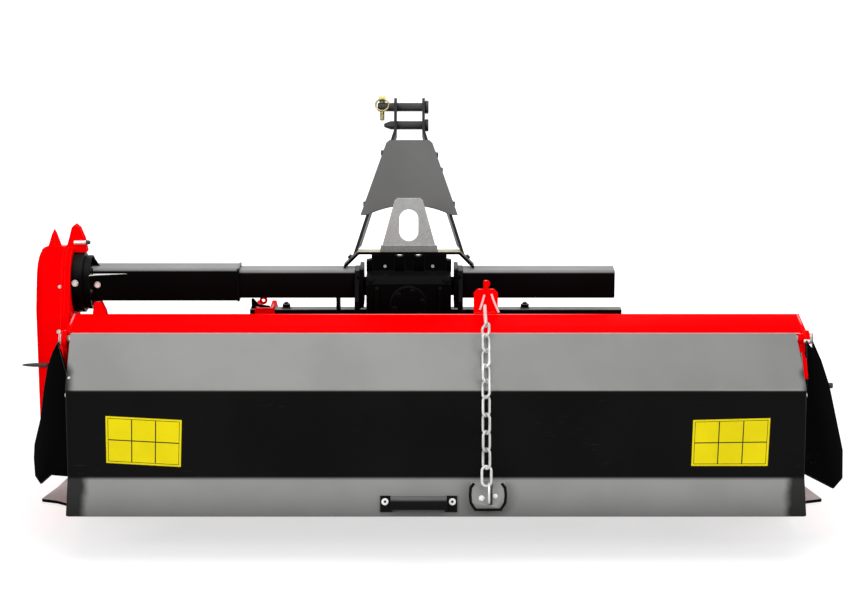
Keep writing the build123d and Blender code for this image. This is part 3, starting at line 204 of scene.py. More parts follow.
class Groups:
    """Builds each shared effect once and places it in materials."""

    def __init__(self) -> None:
        """Starts with no group built."""
        self.built: dict[Group, bpy.types.NodeTree] = {}

    def place(self, net: Net, group: Group, **values: object) -> bpy.types.Node:
        """Places one shared effect in a tree.

        Args:
            net: the tree it goes in.
            group: which effect.
            **values: the effect's inputs.

        Returns:
            The group node.
        """
        if group not in self.built:
            self.built[group] = self.build(group)
        return net.add("Group", dict(values), node_tree=self.built[group])

    def build(self, group: Group) -> bpy.types.NodeTree:
        """Makes one effect's node group.

        Args:
            group: which effect.

        Returns:
            The new group.
        """
        tree = bpy.data.node_groups.new(group.value, "ShaderNodeTree")
        inputs, outputs = GROUP_SOCKETS[group]
        for name, value in inputs.items():
            socket = tree.interface.new_socket(name=name, in_out="INPUT", socket_type="NodeSocketFloat")
            socket.default_value = value
        for name, kind in outputs.items():
            tree.interface.new_socket(name=name, in_out="OUTPUT", socket_type=kind)
        net = Net(tree)
        source = tree.nodes.new("NodeGroupInput")
        results = getattr(self, group.value)(net, source.outputs)
        sink = tree.nodes.new("NodeGroupOutput")
        for name, socket in results.items():
            tree.links.new(socket, sink.inputs[name])
        return tree

    def soft_edges(self, net: Net, given: bpy.types.bpy_prop_collection) -> dict[str, bpy.types.NodeSocket]:
        """Rounds sharp edges in the shading and masks them.

        Args:
            net: the group's tree.
            given: the group's inputs.

        Returns:
            The softened normal and the edges' mask.
        """
        rounded = net.add("Bevel", {"Radius": given["Radius"]}, samples=4).outputs[0]
        flat = net.add("NewGeometry").outputs["Normal"]
        turn = net.add("VectorMath", {0: rounded, 1: flat}, operation="DOT_PRODUCT").outputs["Value"]
        edge = net.math("MULTIPLY", net.math("SUBTRACT", 1.0, turn), 6.0, clamp=True)
        return {"Normal": rounded, "Edge": edge}

    def painted_top_sheen(self, net: Net, given: bpy.types.bpy_prop_collection) -> dict[str, bpy.types.NodeSocket]:
        """Masks the faces that look up, a little patchily, for a paler colour painted on them as a painted
        reflection of the sky.

        Args:
            net: the group's tree.
            given: the group's inputs.

        Returns:
            The haze's mask.
        """
        up = net.add("SeparateXYZ", {0: net.add("TexCoord").outputs["Normal"]}).outputs["Z"]
        names = {"Value": up, 1: given["Start"], 2: given["Full"]}
        mask = net.add("MapRange", names, interpolation_type="SMOOTHSTEP").outputs[0]
        patches = net.spread(net.noise(7.0, 4.0), 0.3, 0.7, 0.0, 1.0)
        kept = net.math("SUBTRACT", 1.0, net.math("MULTIPLY", patches, given["Patchiness"]))
        return {"Mask": net.math("MULTIPLY", mask, kept)}

    def orange_peel(self, net: Net, given: bpy.types.bpy_prop_collection) -> dict[str, bpy.types.NodeSocket]:
        """The fine waviness of sprayed enamel.

        Args:
            net: the group's tree.
            given: the group's inputs.

        Returns:
            The waves' height.
        """
        slow = net.math("MULTIPLY", net.noise(14.0, 2.0), 2.0)
        return {"Height": net.math("ADD", net.noise(given["Scale"], 2.0), slow)}

    def cloudy_tone(self, net: Net, given: bpy.types.bpy_prop_collection) -> dict[str, bpy.types.NodeSocket]:
        """A slow change of tone over a surface."""
        return {"Tone": net.spread(net.noise(given["Scale"], 5.0), 0.32, 0.68, 0.0, 1.0)}

    def fine_scuffs(self, net: Net, given: bpy.types.bpy_prop_collection) -> dict[str, bpy.types.NodeSocket]:
        """Thin handling scratches in clusters.

        Args:
            net: the group's tree.
            given: the group's inputs.

        Returns:
            The scratches' mask.
        """
        long_and_thin = {"Vector": net.place(), "Rotation": (0.5, 0.9, 0.3), "Scale": (1.0, 14.0, 14.0)}
        turned = net.add("Mapping", long_and_thin)
        lines = net.add("TexNoise", {"Vector": turned.outputs[0], "Scale": given["Scale"], "Detail": 4.0})
        thin = net.spread(lines.outputs[0], 0.64, 0.7, 0.0, 1.0)
        where = net.spread(net.noise(9.0, 2.0), 0.5, 0.66, 0.0, 1.0)
        return {"Mask": net.math("MULTIPLY", net.math("MULTIPLY", thin, where), given["Amount"])}

    def zinc_spangle(self, net: Net, given: bpy.types.bpy_prop_collection) -> dict[str, bpy.types.NodeSocket]:
        """The crystal flowers of hot-dip zinc.

        Args:
            net: the group's tree.
            given: the group's inputs.

        Returns:
            Each crystal's tone.
        """
        place = net.place()
        bent = net.add("TexNoise", {"Vector": place, "Scale": 60.0, "Detail": 2.0}).outputs["Color"]
        moved = net.add("VectorMath", {0: bent, "Scale": 0.006}, operation="SCALE").outputs[0]
        spot = net.add("VectorMath", {0: place, 1: bent, 2: moved}, operation="MULTIPLY_ADD").outputs[0]
        cells = net.add("TexVoronoi", {"Vector": spot, "Scale": given["Scale"]})
        tone = net.add("SeparateXYZ", {0: cells.outputs["Color"]}).outputs["X"]
        return {"Tone": tone}

    def cast_skin(self, net: Net, given: bpy.types.bpy_prop_collection) -> dict[str, bpy.types.NodeSocket]:
        """The sandy skin of an iron casting.

        Args:
            net: the group's tree.
            given: the group's inputs.

        Returns:
            The skin's height.
        """
        spots = {"Vector": net.place(), "Scale": given["Scale"]}
        pits = net.math("MULTIPLY", net.add("TexVoronoi", spots, feature="SMOOTH_F1").outputs[0], 0.6)
        return {"Height": net.math("ADD", net.noise(given["Scale"], 6.0), pits)}


GROUPS = Groups()


# Finishes


@dataclass(frozen=True)
class Finish:
    """One finish, from its colour and gloss to its wear, with the sheen and edge light that are painted into its
    colour.
    """

    name: str
    colour: Colour
    slot: str = ""
    # The painted sheen: a paler colour painted on the faces that look up, standing in for the sky's reflection in
    # the paint. Start and full are the normal's upward share where it begins and where it is whole, the patches
    # thin it at random, and the reach is how far from the middle it goes before painted dark reflections take over
    # near the ends.
    painted_sheen_colour: Colour = (0.3, 0.3, 0.3, 1.0)
    painted_sheen_start: float = 0.25
    painted_sheen_full: float = 0.72
    painted_sheen_patches: float = 0.12
    painted_sheen: float = 0.0
    painted_sheen_reach: float = 0.0
    roughness: float = 0.3
    roughness_spread: float = 0.08
    metallic: float = 0.0
    specular: float = 0.3
    edge_radius: float = 0.0012
    # The edge colour is painted over the edges' mask by the amount below. On most finishes it is a painted
    # highlight; on the guard and the chain catch it is a darker outline, and on the catch that outline is painted
    # shade. The scuffs are tinted towards it too.
    painted_edge_and_scuff_colour: Colour = (0.3, 0.3, 0.3, 1.0)
    edge: float = 0.0
    cloud: float = 0.1
    cloud_scale: float = 6.0
    scuffs: float = 0.15
    peel: float = 0.02
    peel_scale: float = 320.0
    cast: float = 0.0
    spangle: float = 0.0

    def build(self) -> bpy.types.Material:
        """Makes the finish's material.

        Returns:
            The new material.
        """
        material = bpy.data.materials.new(self.name)
        material.use_nodes = True
        material.node_tree.nodes.clear()
        net = Net(material.node_tree)
        edges = GROUPS.place(net, Group.SOFT_EDGES, Radius=self.edge_radius)
        tone = GROUPS.place(net, Group.CLOUD, Scale=self.cloud_scale).outputs["Tone"]
        scuff = GROUPS.place(net, Group.SCUFFS, Amount=self.scuffs).outputs["Mask"]
        colour = self.body_colour(net, tone)
        # Painted sheen: the faces that look up are painted paler, a painted reflection of the sky.
        if self.painted_sheen:
            group = GROUPS.place(
                net, Group.HAZE, Start=self.painted_sheen_start, Full=self.painted_sheen_full, Patchiness=self.painted_sheen_patches
            )
            share = net.math("MULTIPLY", group.outputs["Mask"], self.painted_sheen)
            # Near the ends the sheen gives way to the dark colour, a painted dark reflection.
            if self.painted_sheen_reach:
                share = net.math("MULTIPLY", share, self.end_reflection_mask(net))
            colour = net.blend(share, colour, self.painted_sheen_colour)
        # Painted edge light: the edges' mask paints the edge colour over the colour, as a painted highlight or as
        # a painted dark outline.
        if self.edge:
            share = net.math("MULTIPLY", edges.outputs["Edge"], self.edge)
            colour = net.blend(share, colour, self.painted_edge_and_scuff_colour)
        colour = net.blend(net.math("MULTIPLY", scuff, 0.5), colour, self.painted_edge_and_scuff_colour)
        rough = net.spread(tone, 0.0, 1.0, self.roughness, self.roughness + self.roughness_spread)
        shader = net.add(
            "BsdfPrincipled",
            {
                "Base Color": colour,
                "Roughness": net.math("ADD", rough, net.math("MULTIPLY", scuff, 0.2), clamp=True),
                "Metallic": self.metallic,
                "Specular IOR Level": self.specular,
                "Normal": self.bumped(net, edges.outputs["Normal"]),
            },
        )
        net.add("OutputMaterial", {"Surface": shader.outputs[0]})
        return material

    def end_reflection_mask(self, net: Net) -> bpy.types.NodeSocket:
        """Masks the middle of the machine, so that the painted sheen fades near its ends and sooner lower down,
        leaving painted dark reflections there.

        Args:
            net: the material's tree.

        Returns:
            The mask's socket.
        """
        place = net.add("SeparateXYZ", {0: net.place()}).outputs
        across = net.math("ABSOLUTE", net.math("SUBTRACT", place["X"], SHIFT.x))
        low = net.spread(place["Z"], 0.1, 0.4, 0.03, 0.0)
        high = net.spread(place["Z"], 0.37, 0.41, 0.0, -0.03)
        wave = net.math("MULTIPLY", net.noise(16.0, 3.0), 0.03)
        where = net.math("ADD", net.math("ADD", across, wave), net.math("ADD", low, high))
        return net.spread(where, self.painted_sheen_reach, self.painted_sheen_reach + 0.02, 1.0, 0.08)

    def body_colour(self, net: Net, tone: bpy.types.NodeSocket) -> bpy.types.NodeSocket:
        """The base colour with its slow change of tone, and its spangle if it has one.

        Args:
            net: the material's tree.
            tone: the slow change of tone.

        Returns:
            The colour's socket.
        """
        dark = tuple(channel * (1.0 - self.cloud) for channel in self.colour[:3]) + (1.0,)
        colour = net.blend(tone, self.colour, dark)
        if self.spangle:
            cells = GROUPS.place(net, Group.SPANGLE).outputs["Tone"]
            pale = tuple(min(1.0, channel * 1.5) for channel in self.colour[:3]) + (1.0,)
            colour = net.blend(net.math("MULTIPLY", cells, self.spangle), colour, pale)
        return colour

    def bumped(self, net: Net, normal: bpy.types.NodeSocket) -> bpy.types.NodeSocket:
        """The surface's fine relief on top of its softened edges.

        Args:
            net: the material's tree.
            normal: the softened normal.

        Returns:
            The normal's socket.
        """
        if self.cast:
            height = GROUPS.place(net, Group.CAST).outputs["Height"]
            values = {"Strength": self.cast, "Distance": 0.0012}
        else:
            height = GROUPS.place(net, Group.PEEL, Scale=self.peel_scale).outputs["Height"]
            values = {"Strength": self.peel, "Distance": 0.001}
        return net.add("Bump", {"Height": height, "Normal": normal, **values}).outputs[0]


# Red enamel. Its pale pink on the faces that look straight up is a painted highlight along the hood's ridge, and
# its lighter red edges are painted highlights.
RED = Finish(
    name="red_enamel",
    slot="red_paint",
    colour=(0.93, 0.0, 0.001, 1.0),
    painted_sheen_colour=(1.0, 0.4, 0.4, 1.0),
    painted_sheen_start=0.9945,
    painted_sheen_full=0.9985,
    painted_sheen=0.7,
    roughness=0.36,
    specular=0.0015,
    painted_edge_and_scuff_colour=(1.0, 0.1, 0.08, 1.0),
    edge=0.35,
    cloud=0.06,
    scuffs=0.05,
)
# Black enamel. Its grey on the faces that look up is a painted reflection of the sky, and its grey edges are
# painted highlights.
BLACK = Finish(
    name="black_enamel",
    slot="black_paint",
    colour=(0.0018, 0.0018, 0.002, 1.0),
    painted_sheen_colour=(0.235, 0.235, 0.235, 1.0),
    painted_sheen=1.0,
    roughness=0.3,
    specular=0.018,
    painted_edge_and_scuff_colour=(0.1, 0.1, 0.1, 1.0),
    edge=0.4,
    cloud=0.35,
    scuffs=0.12,
)
# The gate's black enamel. Its grey bands on the faces that look up are a painted reflection of the sky, faded near
# the ends to painted dark reflections.
GATE_BLACK = Finish(
    name="black_gate_enamel",
    slot="black_paint",
    colour=(0.0045, 0.0042, 0.0042, 1.0),
    painted_sheen_colour=(0.285, 0.285, 0.28, 1.0),
    painted_sheen_start=0.12,
    painted_sheen_full=0.5,
    painted_sheen_patches=0.1,
    painted_sheen=1.0,
    painted_sheen_reach=0.733,
    roughness=0.28,
    specular=0.038,
    painted_edge_and_scuff_colour=(0.2, 0.2, 0.2, 1.0),
    edge=0.4,
    cloud=0.3,
    scuffs=0.1,
)
# Black casting with a faint painted sheen on its top and faint painted edge highlights.
CASTING = Finish(
    name="black_casting",
    slot="black_casting",
    colour=(0.0012, 0.0012, 0.0013, 1.0),
    painted_sheen_colour=(0.02, 0.02, 0.02, 1.0),
    painted_sheen=0.2,
    roughness=0.36,
    specular=0.012,
    painted_edge_and_scuff_colour=(0.03, 0.03, 0.03, 1.0),
    edge=0.4,
    edge_radius=0.003,
    cloud=0.3,
    cast=0.35,
)
GALVANISED = Finish(
    name="galvanised_steel",
    slot="galvanised_steel",
    colour=(0.315, 0.36, 0.353, 1.0),
    roughness=0.45,
    metallic=0.1,
    specular=0.25,
    painted_edge_and_scuff_colour=(0.5, 0.5, 0.48, 1.0),
    edge=0.4,
    spangle=0.7,
    peel=0.04,
)
ZINC = Finish(
    name="zinc_plate",
    slot="zinc_plate",
    colour=(0.5, 0.5, 0.48, 1.0),
    roughness=0.26,
    metallic=0.85,
    specular=0.5,
    painted_edge_and_scuff_colour=(0.8, 0.8, 0.78, 1.0),
    edge=0.4,
    edge_radius=0.0006,
    cloud=0.25,
    cloud_scale=30.0,
)
YELLOW_ZINC = Finish(
    name="yellow_zinc",
    slot="yellow_zinc",
    colour=(0.42, 0.38, 0.17, 1.0),
    roughness=0.3,
    metallic=0.7,
    specular=0.5,
    painted_edge_and_scuff_colour=(0.7, 0.66, 0.4, 1.0),
    edge=0.4,
    edge_radius=0.0005,
    cloud=0.4,
    cloud_scale=50.0,
)
BARE = Finish(
    name="bare_steel",
    slot="bare_steel",
    colour=(0.2, 0.195, 0.19, 1.0),
    roughness=0.4,
    metallic=0.8,
    specular=0.5,
    painted_edge_and_scuff_colour=(0.5, 0.5, 0.5, 1.0),
    edge=0.5,
    cloud=0.4,
    cloud_scale=14.0,
    scuffs=0.4,
)
# Black plastic. Its grey on the faces that look up is a painted highlight along the pull's top.
PLASTIC = Finish(
    name="black_plastic",
    slot="black_plastic",
    colour=(0.005, 0.005, 0.005, 1.0),
    painted_sheen_colour=(0.17, 0.17, 0.17, 1.0),
    painted_sheen_start=0.75,
    painted_sheen_full=0.97,
    painted_sheen=0.9,
    roughness=0.5,
    specular=0.03,
    painted_edge_and_scuff_colour=(0.08, 0.08, 0.08, 1.0),
    edge=0.3,
    peel=0.12,
    peel_scale=700.0,
)

# The wing enamel has almost no painted sheen, but strong pale painted highlights on its edges.
WING_BLACK = replace(
    BLACK, name="black_wing_enamel", specular=0.005, painted_sheen=0.02, edge=0.7, painted_edge_and_scuff_colour=(0.3, 0.3, 0.3, 1.0)
)
# The skid enamel has a paler, patchier painted sheen on the faces that look up.
SKID_BLACK = replace(BLACK, name="black_skid_enamel", painted_sheen_colour=(0.5, 0.5, 0.49, 1.0), painted_sheen_patches=0.5)
# These two carry less painted sheen than the black enamel, and the bars more painted edge highlight.
DEEP_BLACK = replace(BLACK, name="black_deep_enamel", painted_sheen=0.05, edge=0.15)
BAR_BLACK = replace(BLACK, name="black_bar_enamel", painted_sheen=0.22, edge=0.6)
# Black enamel with a near-white painted highlight on the faces that look up.
RIB_BLACK = replace(
    BLACK, name="black_rib_painted_highlight", painted_sheen_colour=(0.85, 0.85, 0.84, 1.0), painted_sheen_start=0.1, painted_sheen_full=0.5
)
# The catch's enamel paints its edges near black, a dark outline of painted shade.
CATCH_BLACK = replace(
    GATE_BLACK, name="black_catch_shaded_outline", painted_edge_and_scuff_colour=(0.004, 0.004, 0.004, 1.0), edge=1.0, edge_radius=0.002
)
# A pale red, a painted highlight line.
RED_GLINT = replace(RED, name="red_painted_highlight", colour=(1.0, 0.7, 0.7, 1.0), edge=0.0)
# A darker zinc, painted shade on the bracket's low strip.
BRACKET_FOOT_SHADE = replace(GALVANISED, name="galvanised_foot_painted_shade", colour=(0.15, 0.165, 0.162, 1.0))
# Black enamel with a pale yellowish painted highlight on the bridge's faces that look up.
BRIDGE_BLACK = replace(
    BLACK, name="black_bridge_painted_highlight", painted_sheen_start=0.55, painted_sheen_full=0.95, painted_sheen_colour=(0.5, 0.46, 0.36, 1.0)
)
# Grey enamel whose edges are painted darker than its face.
GUARD_BLACK = replace(
    BLACK,
    name="black_guard_enamel",
    colour=(0.14, 0.142, 0.14, 1.0),
    painted_sheen=0.0,
    roughness=0.42,
    cloud=0.12,
    painted_edge_and_scuff_colour=(0.02, 0.02, 0.02, 1.0),
    edge=0.5,
)
DARK_STEEL = replace(
    BARE, name="dark_steel", colour=(0.02, 0.02, 0.021, 1.0), metallic=0.3, edge=0.35, scuffs=0.2
)
BRIGHT = replace(ZINC, name="bright_zinc", colour=(0.85, 0.85, 0.83, 1.0), metallic=0.3, roughness=0.4)
CHAIN_ZINC = replace(
    ZINC, name="chain_zinc", colour=(0.74, 0.74, 0.72, 1.0), metallic=0.4, roughness=0.3, cloud=0.35
)
# The tines carry less painted sheen than the black enamel, and more scuffs.
TINE_STEEL = replace(BLACK, name="tine_enamel", painted_sheen=0.3, scuffs=0.5)
YELLOW_FILM = Finish(
    name="yellow_film",
    colour=(0.88, 0.73, 0.004, 1.0),
    roughness=0.4,
    specular=0.1,
    cloud=0.1,
    cloud_scale=12.0,
    scuffs=0.1,
    edge_radius=0.0003,
    peel=0.01,
)
PRINT = Finish(
    name="dark_print",
    colour=(0.02, 0.018, 0.008, 1.0),
    roughness=0.45,
    specular=0.1,
    edge_radius=0.0003,
    peel=0.01,
)


class Wardrobe:
    """Builds each finish once, and dresses pieces and frame nodes in them."""

    def __init__(self) -> None:
        """Starts with no material built."""
        self.built: dict[str, bpy.types.Material] = {}

    def material(self, finish: Finish) -> bpy.types.Material:
        """The material of a finish.

        Args:
            finish: the finish.

        Returns:
            Its one material.
        """
        if finish.name not in self.built:
            self.built[finish.name] = finish.build()
        return self.built[finish.name]

    def dress(self, piece: bpy.types.Object, finish: Finish) -> None:
        """Gives a piece or a frame node one finish all over.

        Args:
            piece: the piece.
            finish: its finish.
        """
        material = self.material(finish)
        if not piece.material_slots:
            piece.data.materials.append(material)
        for slot in piece.material_slots:
            slot.material = material


WARDROBE = Wardrobe()
NODE_FINISHES: dict[str, Finish] = {
    "red_paint": RED,
    "black_paint": BLACK,
    "black_casting": CASTING,
    "galvanised_steel": GALVANISED,
    "zinc_plate": ZINC,
    "yellow_zinc": YELLOW_ZINC,
    "bare_steel": BARE,
    "black_plastic": PLASTIC,
}


def dress_frame() -> None:
    """Dresses every frame node in the finish of its material slot."""
    slots = {part["node"]: part["material_slot"] for part in frame["record"]["subparts"]}
    for name, node in frame["nodes"].items():
        WARDROBE.dress(node, NODE_FINISHES[slots[name]])
    log.info("frame: %d nodes dressed", len(slots))


# Places and modelling tools

MM = 0.001
HINGE: Flat = (-278.0, 425.0)
LEFT, RIGHT = Vector((-1.0, 0.0, 0.0)), Vector((1.0, 0.0, 0.0))
REAR, FRONT = Vector((0.0, -1.0, 0.0)), Vector((0.0, 1.0, 0.0))
UP = Vector((0.0, 0.0, 1.0))


def frame_shift() -> Vector:
    """The step from the drawing's places to the frame's, read from the gate's hinge.

    Returns:
        The step in metres.
    """
    hinge = next(joint for joint in frame["joints"] if joint["name"] == "gate_lift")
    return Vector(hinge["pos_m"]) - Vector((0.0, *HINGE)) * MM


SHIFT = frame_shift()


def at(x: float, y: float, z: float) -> Vector:
    """A place in millimetres from the hood's middle, the beam's axis and the ground, in the frame."""
    return Vector((x, y, z)) * MM + SHIFT


def step(x: float, y: float, z: float) -> Vector:
    """A step in millimetres as a step in the frame."""
    return Vector((x, y, z)) * MM


class Bench:
    """Models pieces with Blender's own tools, one at a time."""

    def only(self, piece: bpy.types.Object) -> None:
        """Selects one piece and nothing else.

        Args:
            piece: the piece that is worked on next.
        """
        bpy.ops.object.select_all(action="DESELECT")
        piece.select_set(True)
        bpy.context.view_layer.objects.active = piece

    def primitive(self, name: str, kind: str, **settings: object) -> bpy.types.Object:
        """Adds a primitive to start from, with its place in its mesh.

        Args:
            name: the piece's name.
            kind: the primitive's kind.
            **settings: its size and place.

        Returns:
            The new piece.
        """
        bpy.ops.object.select_all(action="DESELECT")
        getattr(bpy.ops.mesh, f"primitive_{kind}_add")(**settings)
        bpy.ops.object.transform_apply(location=True, rotation=True, scale=True)
        piece = bpy.context.active_object
        piece.name = name
        return piece

    def edit(self) -> None:
        """Opens the active piece for editing with all of it selected."""
        bpy.ops.object.mode_set(mode="EDIT")
        bpy.ops.mesh.select_mode(type="VERT")
        bpy.ops.mesh.select_all(action="SELECT")

    def trace(self, name: str, points: Sequence[Vector], closed: bool = True) -> bpy.types.Object:
        """Draws a line from point to point by extruding one vertex, and fills it where it is closed.

        Args:
            name: the piece's name.
            points: the line's corners.
            closed: whether the line closes to a face.

        Returns:
            The piece, left open for editing.
        """
        piece = self.primitive(name, "plane", size=MM, location=points[0])
        self.edit()
        bpy.ops.mesh.merge(type="CENTER")
        for start, end in zip(points, points[1:]):
            bpy.ops.mesh.extrude_vertices_move(TRANSFORM_OT_translate={"value": end - start})
        if closed:
            bpy.ops.mesh.select_all(action="SELECT")
            bpy.ops.mesh.edge_face_add()
        return piece

    def pull(self, way: Vector) -> None:
        """Extrudes the whole open piece along a step."""
        bpy.ops.mesh.select_all(action="SELECT")
        bpy.ops.mesh.extrude_region_move(TRANSFORM_OT_translate={"value": way})

    def choose(self, piece: bpy.types.Object, kind: str, test: Callable[[object], bool]) -> None:
        """Selects the vertices, edges or faces that pass a test.

        Args:
            piece: the piece that is open for editing.
            kind: VERT, EDGE or FACE.
            test: says whether an element is selected.
        """
        bpy.ops.mesh.select_mode(type=kind)
        bpy.ops.mesh.select_all(action="DESELECT")
        mesh = bmesh.from_edit_mesh(piece.data)
        parts = {"VERT": mesh.verts, "EDGE": mesh.edges, "FACE": mesh.faces}[kind]
        for part in [part for part in parts if test(part)]:
            part.select_set(True)
        bmesh.update_edit_mesh(piece.data)

    def finish_with(self, piece: bpy.types.Object, kind: str, **settings: object) -> None:
        """Adds a modifier and applies it.

        Args:
            piece: the piece.
            kind: the modifier's type.
            **settings: the modifier's settings.
        """
        self.only(piece)
        modifier = piece.modifiers.new(kind.lower(), kind)
        for name, value in settings.items():
            setattr(modifier, name, value)
        bpy.ops.object.modifier_apply(modifier=modifier.name)

    def soften(self, piece: bpy.types.Object, width: float, segments: int = 2, angle: float = 30.0) -> None:
        """Rounds the sharp edges and shades the rest smooth.

        Args:
            piece: the piece.
            width: the rounding in millimetres, 0 for none.
            segments: faces across the rounding.
            angle: the smallest corner that is rounded, in degrees.
        """
        if width:
            sizes = {"width": width * MM, "segments": segments, "angle_limit": radians(angle)}
            self.finish_with(piece, "BEVEL", limit_method="ANGLE", **sizes)
        self.only(piece)
        bpy.ops.object.shade_smooth_by_angle(angle=radians(32.0))

    def close(self, width: float = 0.0, segments: int = 2, angle: float = 30.0) -> bpy.types.Object:
        """Leaves editing, with all faces outwards and the edges softened.

        Args:
            width: the rounding in millimetres.
            segments: faces across the rounding.
            angle: the smallest corner that is rounded, in degrees.

        Returns:
            The finished piece.
        """
        bpy.ops.mesh.select_all(action="SELECT")
        bpy.ops.mesh.normals_make_consistent(inside=False)
        bpy.ops.object.mode_set(mode="OBJECT")
        piece = bpy.context.active_object
        self.soften(piece, width, segments, angle)
        return piece

    def plate(
        self, name: str, points: Sequence[Vector], through: Vector, width: float = 0.8, segments: int = 2
    ) -> bpy.types.Object:
        """Cuts a plate to an outline and breaks its edges.

        Args:
            name: the piece's name.
            points: the outline's corners.
            through: the step from face to face.
            width: the edges' rounding in millimetres.
            segments: faces across the rounding.

        Returns:
            The plate.
        """
        self.trace(name, points)
        self.pull(through)
        return self.close(width, segments)

    def turned(
        self, name: str, profile: Sequence[Flat], centre: Vector, axis: Vector, steps: int = 24
    ) -> bpy.types.Object:
        """Spins a profile round an axis, as on a lathe.

        Args:
            name: the piece's name.
            profile: radius and place along the axis, in millimetres, corner by corner.
            centre: where the axis starts.
            axis: its direction.
            steps: faces round the piece.

        Returns:
            The turned piece.
        """
        side = axis.orthogonal().normalized()
        points = [centre + axis * along * MM + side * radius * MM for radius, along in profile]
        self.trace(name, points, closed=False)
        bpy.ops.mesh.select_all(action="SELECT")
        bpy.ops.mesh.spin(steps=steps, angle=2 * pi, center=centre, axis=axis)
        bpy.ops.mesh.select_all(action="SELECT")
        bpy.ops.mesh.remove_doubles(threshold=0.002 * MM)
        return self.close()

    def wire(
        self, name: str, points: Sequence[Vector], radius: float, closed: bool = False, bumps: float = 0.0
    ) -> bpy.types.Object:
        """Bends a round wire, or lays a rippled weld bead, along a line.

        Args:
            name: the piece's name.
            points: the line's points.
            radius: the wire's radius in millimetres.
            closed: whether the wire joins itself.
            bumps: how far the radius ripples, 0 for a plain wire.

        Returns:
            The wire as a mesh.
        """
        bpy.ops.object.select_all(action="DESELECT")
        bpy.ops.curve.primitive_nurbs_path_add(location=(0.0, 0.0, 0.0))
        piece = bpy.context.active_object
        piece.name = name
        curve = piece.data
        curve.splines.clear()
        spline = curve.splines.new("POLY" if bumps else "NURBS")
        spline.points.add(len(points) - 1)
        for index, (knot, point) in enumerate(zip(spline.points, points)):
            knot.co = (*point, 1.0)
            knot.radius = 1.0 + bumps * (-1) ** index
        if not bumps:
            spline.order_u = 3
            spline.use_endpoint_u = not closed
        spline.use_cyclic_u = closed
        curve.dimensions = "3D"
        curve.bevel_depth = radius * MM
        curve.bevel_resolution = 2
        curve.resolution_u = 5
        curve.use_fill_caps = True
        bpy.ops.object.convert(target="MESH")
        piece = bpy.context.active_object
        bpy.ops.object.shade_smooth()
        return piece

    def bead(self, name: str, start: Vector, end: Vector, radius: float = 3.0) -> bpy.types.Object:
        """Lays a rippled weld bead from one point to another.

        Args:
            name: the piece's name.
            start: where it starts.
            end: where it ends.
            radius: its radius in millimetres.

        Returns:
            The bead.
        """
        count = max(4, int((end - start).length / (radius * 0.9 * MM)))
        points = [start.lerp(end, index / count) for index in range(count + 1)]
        return self.wire(name, points, radius, bumps=0.12)

    def join(self, name: str, pieces: Sequence[bpy.types.Object]) -> bpy.types.Object:
        """Joins pieces of one kind to one object.

        Args:
            name: the joined piece's name.
            pieces: the pieces.

        Returns:
            The joined piece.
        """
        self.only(pieces[0])
        for piece in pieces[1:]:
            piece.select_set(True)
        if len(pieces) > 1:
            bpy.ops.object.join()
        pieces[0].name = name
        return pieces[0]

    def twins(self, name: str, master: bpy.types.Object, places: Iterable[Matrix]) -> bpy.types.Object:
        """Copies one model to its places, each copy with its own mesh, and joins them.

        Args:
            name: the joined piece's name.
            master: the model.
            places: one matrix a copy.

        Returns:
            The joined copies.
        """
        made = []
        for place in places:
            twin = master.copy()
            twin.data = master.data.copy()
            twin.data.transform(place)
            bpy.context.scene.collection.objects.link(twin)
            made.append(twin)
        return self.join(name, made)

    def softened(self, node: str, width: float, segments: int = 2, angle: float = 38.0) -> bpy.types.Object:
        """Makes a piece from a frame node's own shape with its sharp edges truly rounded.

        Args:
            node: the frame node.
            width: the rounding in millimetres.
            segments: faces across the rounding.
            angle: the smallest corner that is rounded, in degrees.

        Returns:
            The new piece, which rides on nothing yet.
        """
        source = frame["nodes"][node]
        piece = bpy.data.objects.new(f"{node}_edged", source.data.copy())
        bpy.context.scene.collection.objects.link(piece)
        self.only(piece)
        self.edit()
        bpy.ops.mesh.remove_doubles(threshold=0.002 * MM)
        bpy.ops.mesh.dissolve_limited(angle_limit=radians(0.6), use_dissolve_boundaries=False)
        bpy.ops.object.mode_set(mode="OBJECT")
        self.soften(piece, width, segments, angle)
        return piece

    def cut(self, piece: bpy.types.Object, place: Vector, side: Vector) -> None:
        """Cuts a piece off square along a plane.

        Args:
            piece: the piece.
            place: a place on the plane.
            side: the side of it that goes.
        """
        self.only(piece)
        self.edit()
        bpy.ops.mesh.bisect(plane_co=place, plane_no=side, use_fill=True, clear_outer=True)
        bpy.ops.object.mode_set(mode="OBJECT")

    def trimmed(
        self, node: str, place: Vector, side: Vector, width: float, angle: float = 30.0
    ) -> bpy.types.Object:
        """Makes a piece from a frame node's own shape, cut off beyond a plane, with rounded edges.

        Args:
            node: the frame node.
            place: a place on the plane.
            side: the side of it that goes.
            width: the rounding in millimetres.
            angle: the smallest corner that is rounded, in degrees.

        Returns:
            The new piece, which rides on nothing yet.
        """
        piece = self.softened(node, 0.0)
        self.cut(piece, place, side)
        self.soften(piece, width, 3, angle)
        return piece


BENCH = Bench()


def settle(piece: bpy.types.Object, body: Body, finish: Finish, *nodes: str) -> bpy.types.Object:
    """Dresses a finished piece, sets it on its body and reports it.

    Args:
        piece: the piece, in place.
        body: the body that it rides on.
        finish: its finish.
        *nodes: the frame nodes that it stands for.

    Returns:
        The piece.
    """
    WARDROBE.dress(piece, finish)
    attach(piece, body.value)
    if nodes:
        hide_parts(*nodes)
    log.info("%s: %d faces", piece.name, len(piece.data.polygons))
    return piece


# Fasteners


class Fastener(Enum):
    """The kinds of fastener, each drawn with a washer of radius 1."""

    HEX = "hex_bolt"
    NUT = "nut_on_stud"
    DOME = "domed_head"


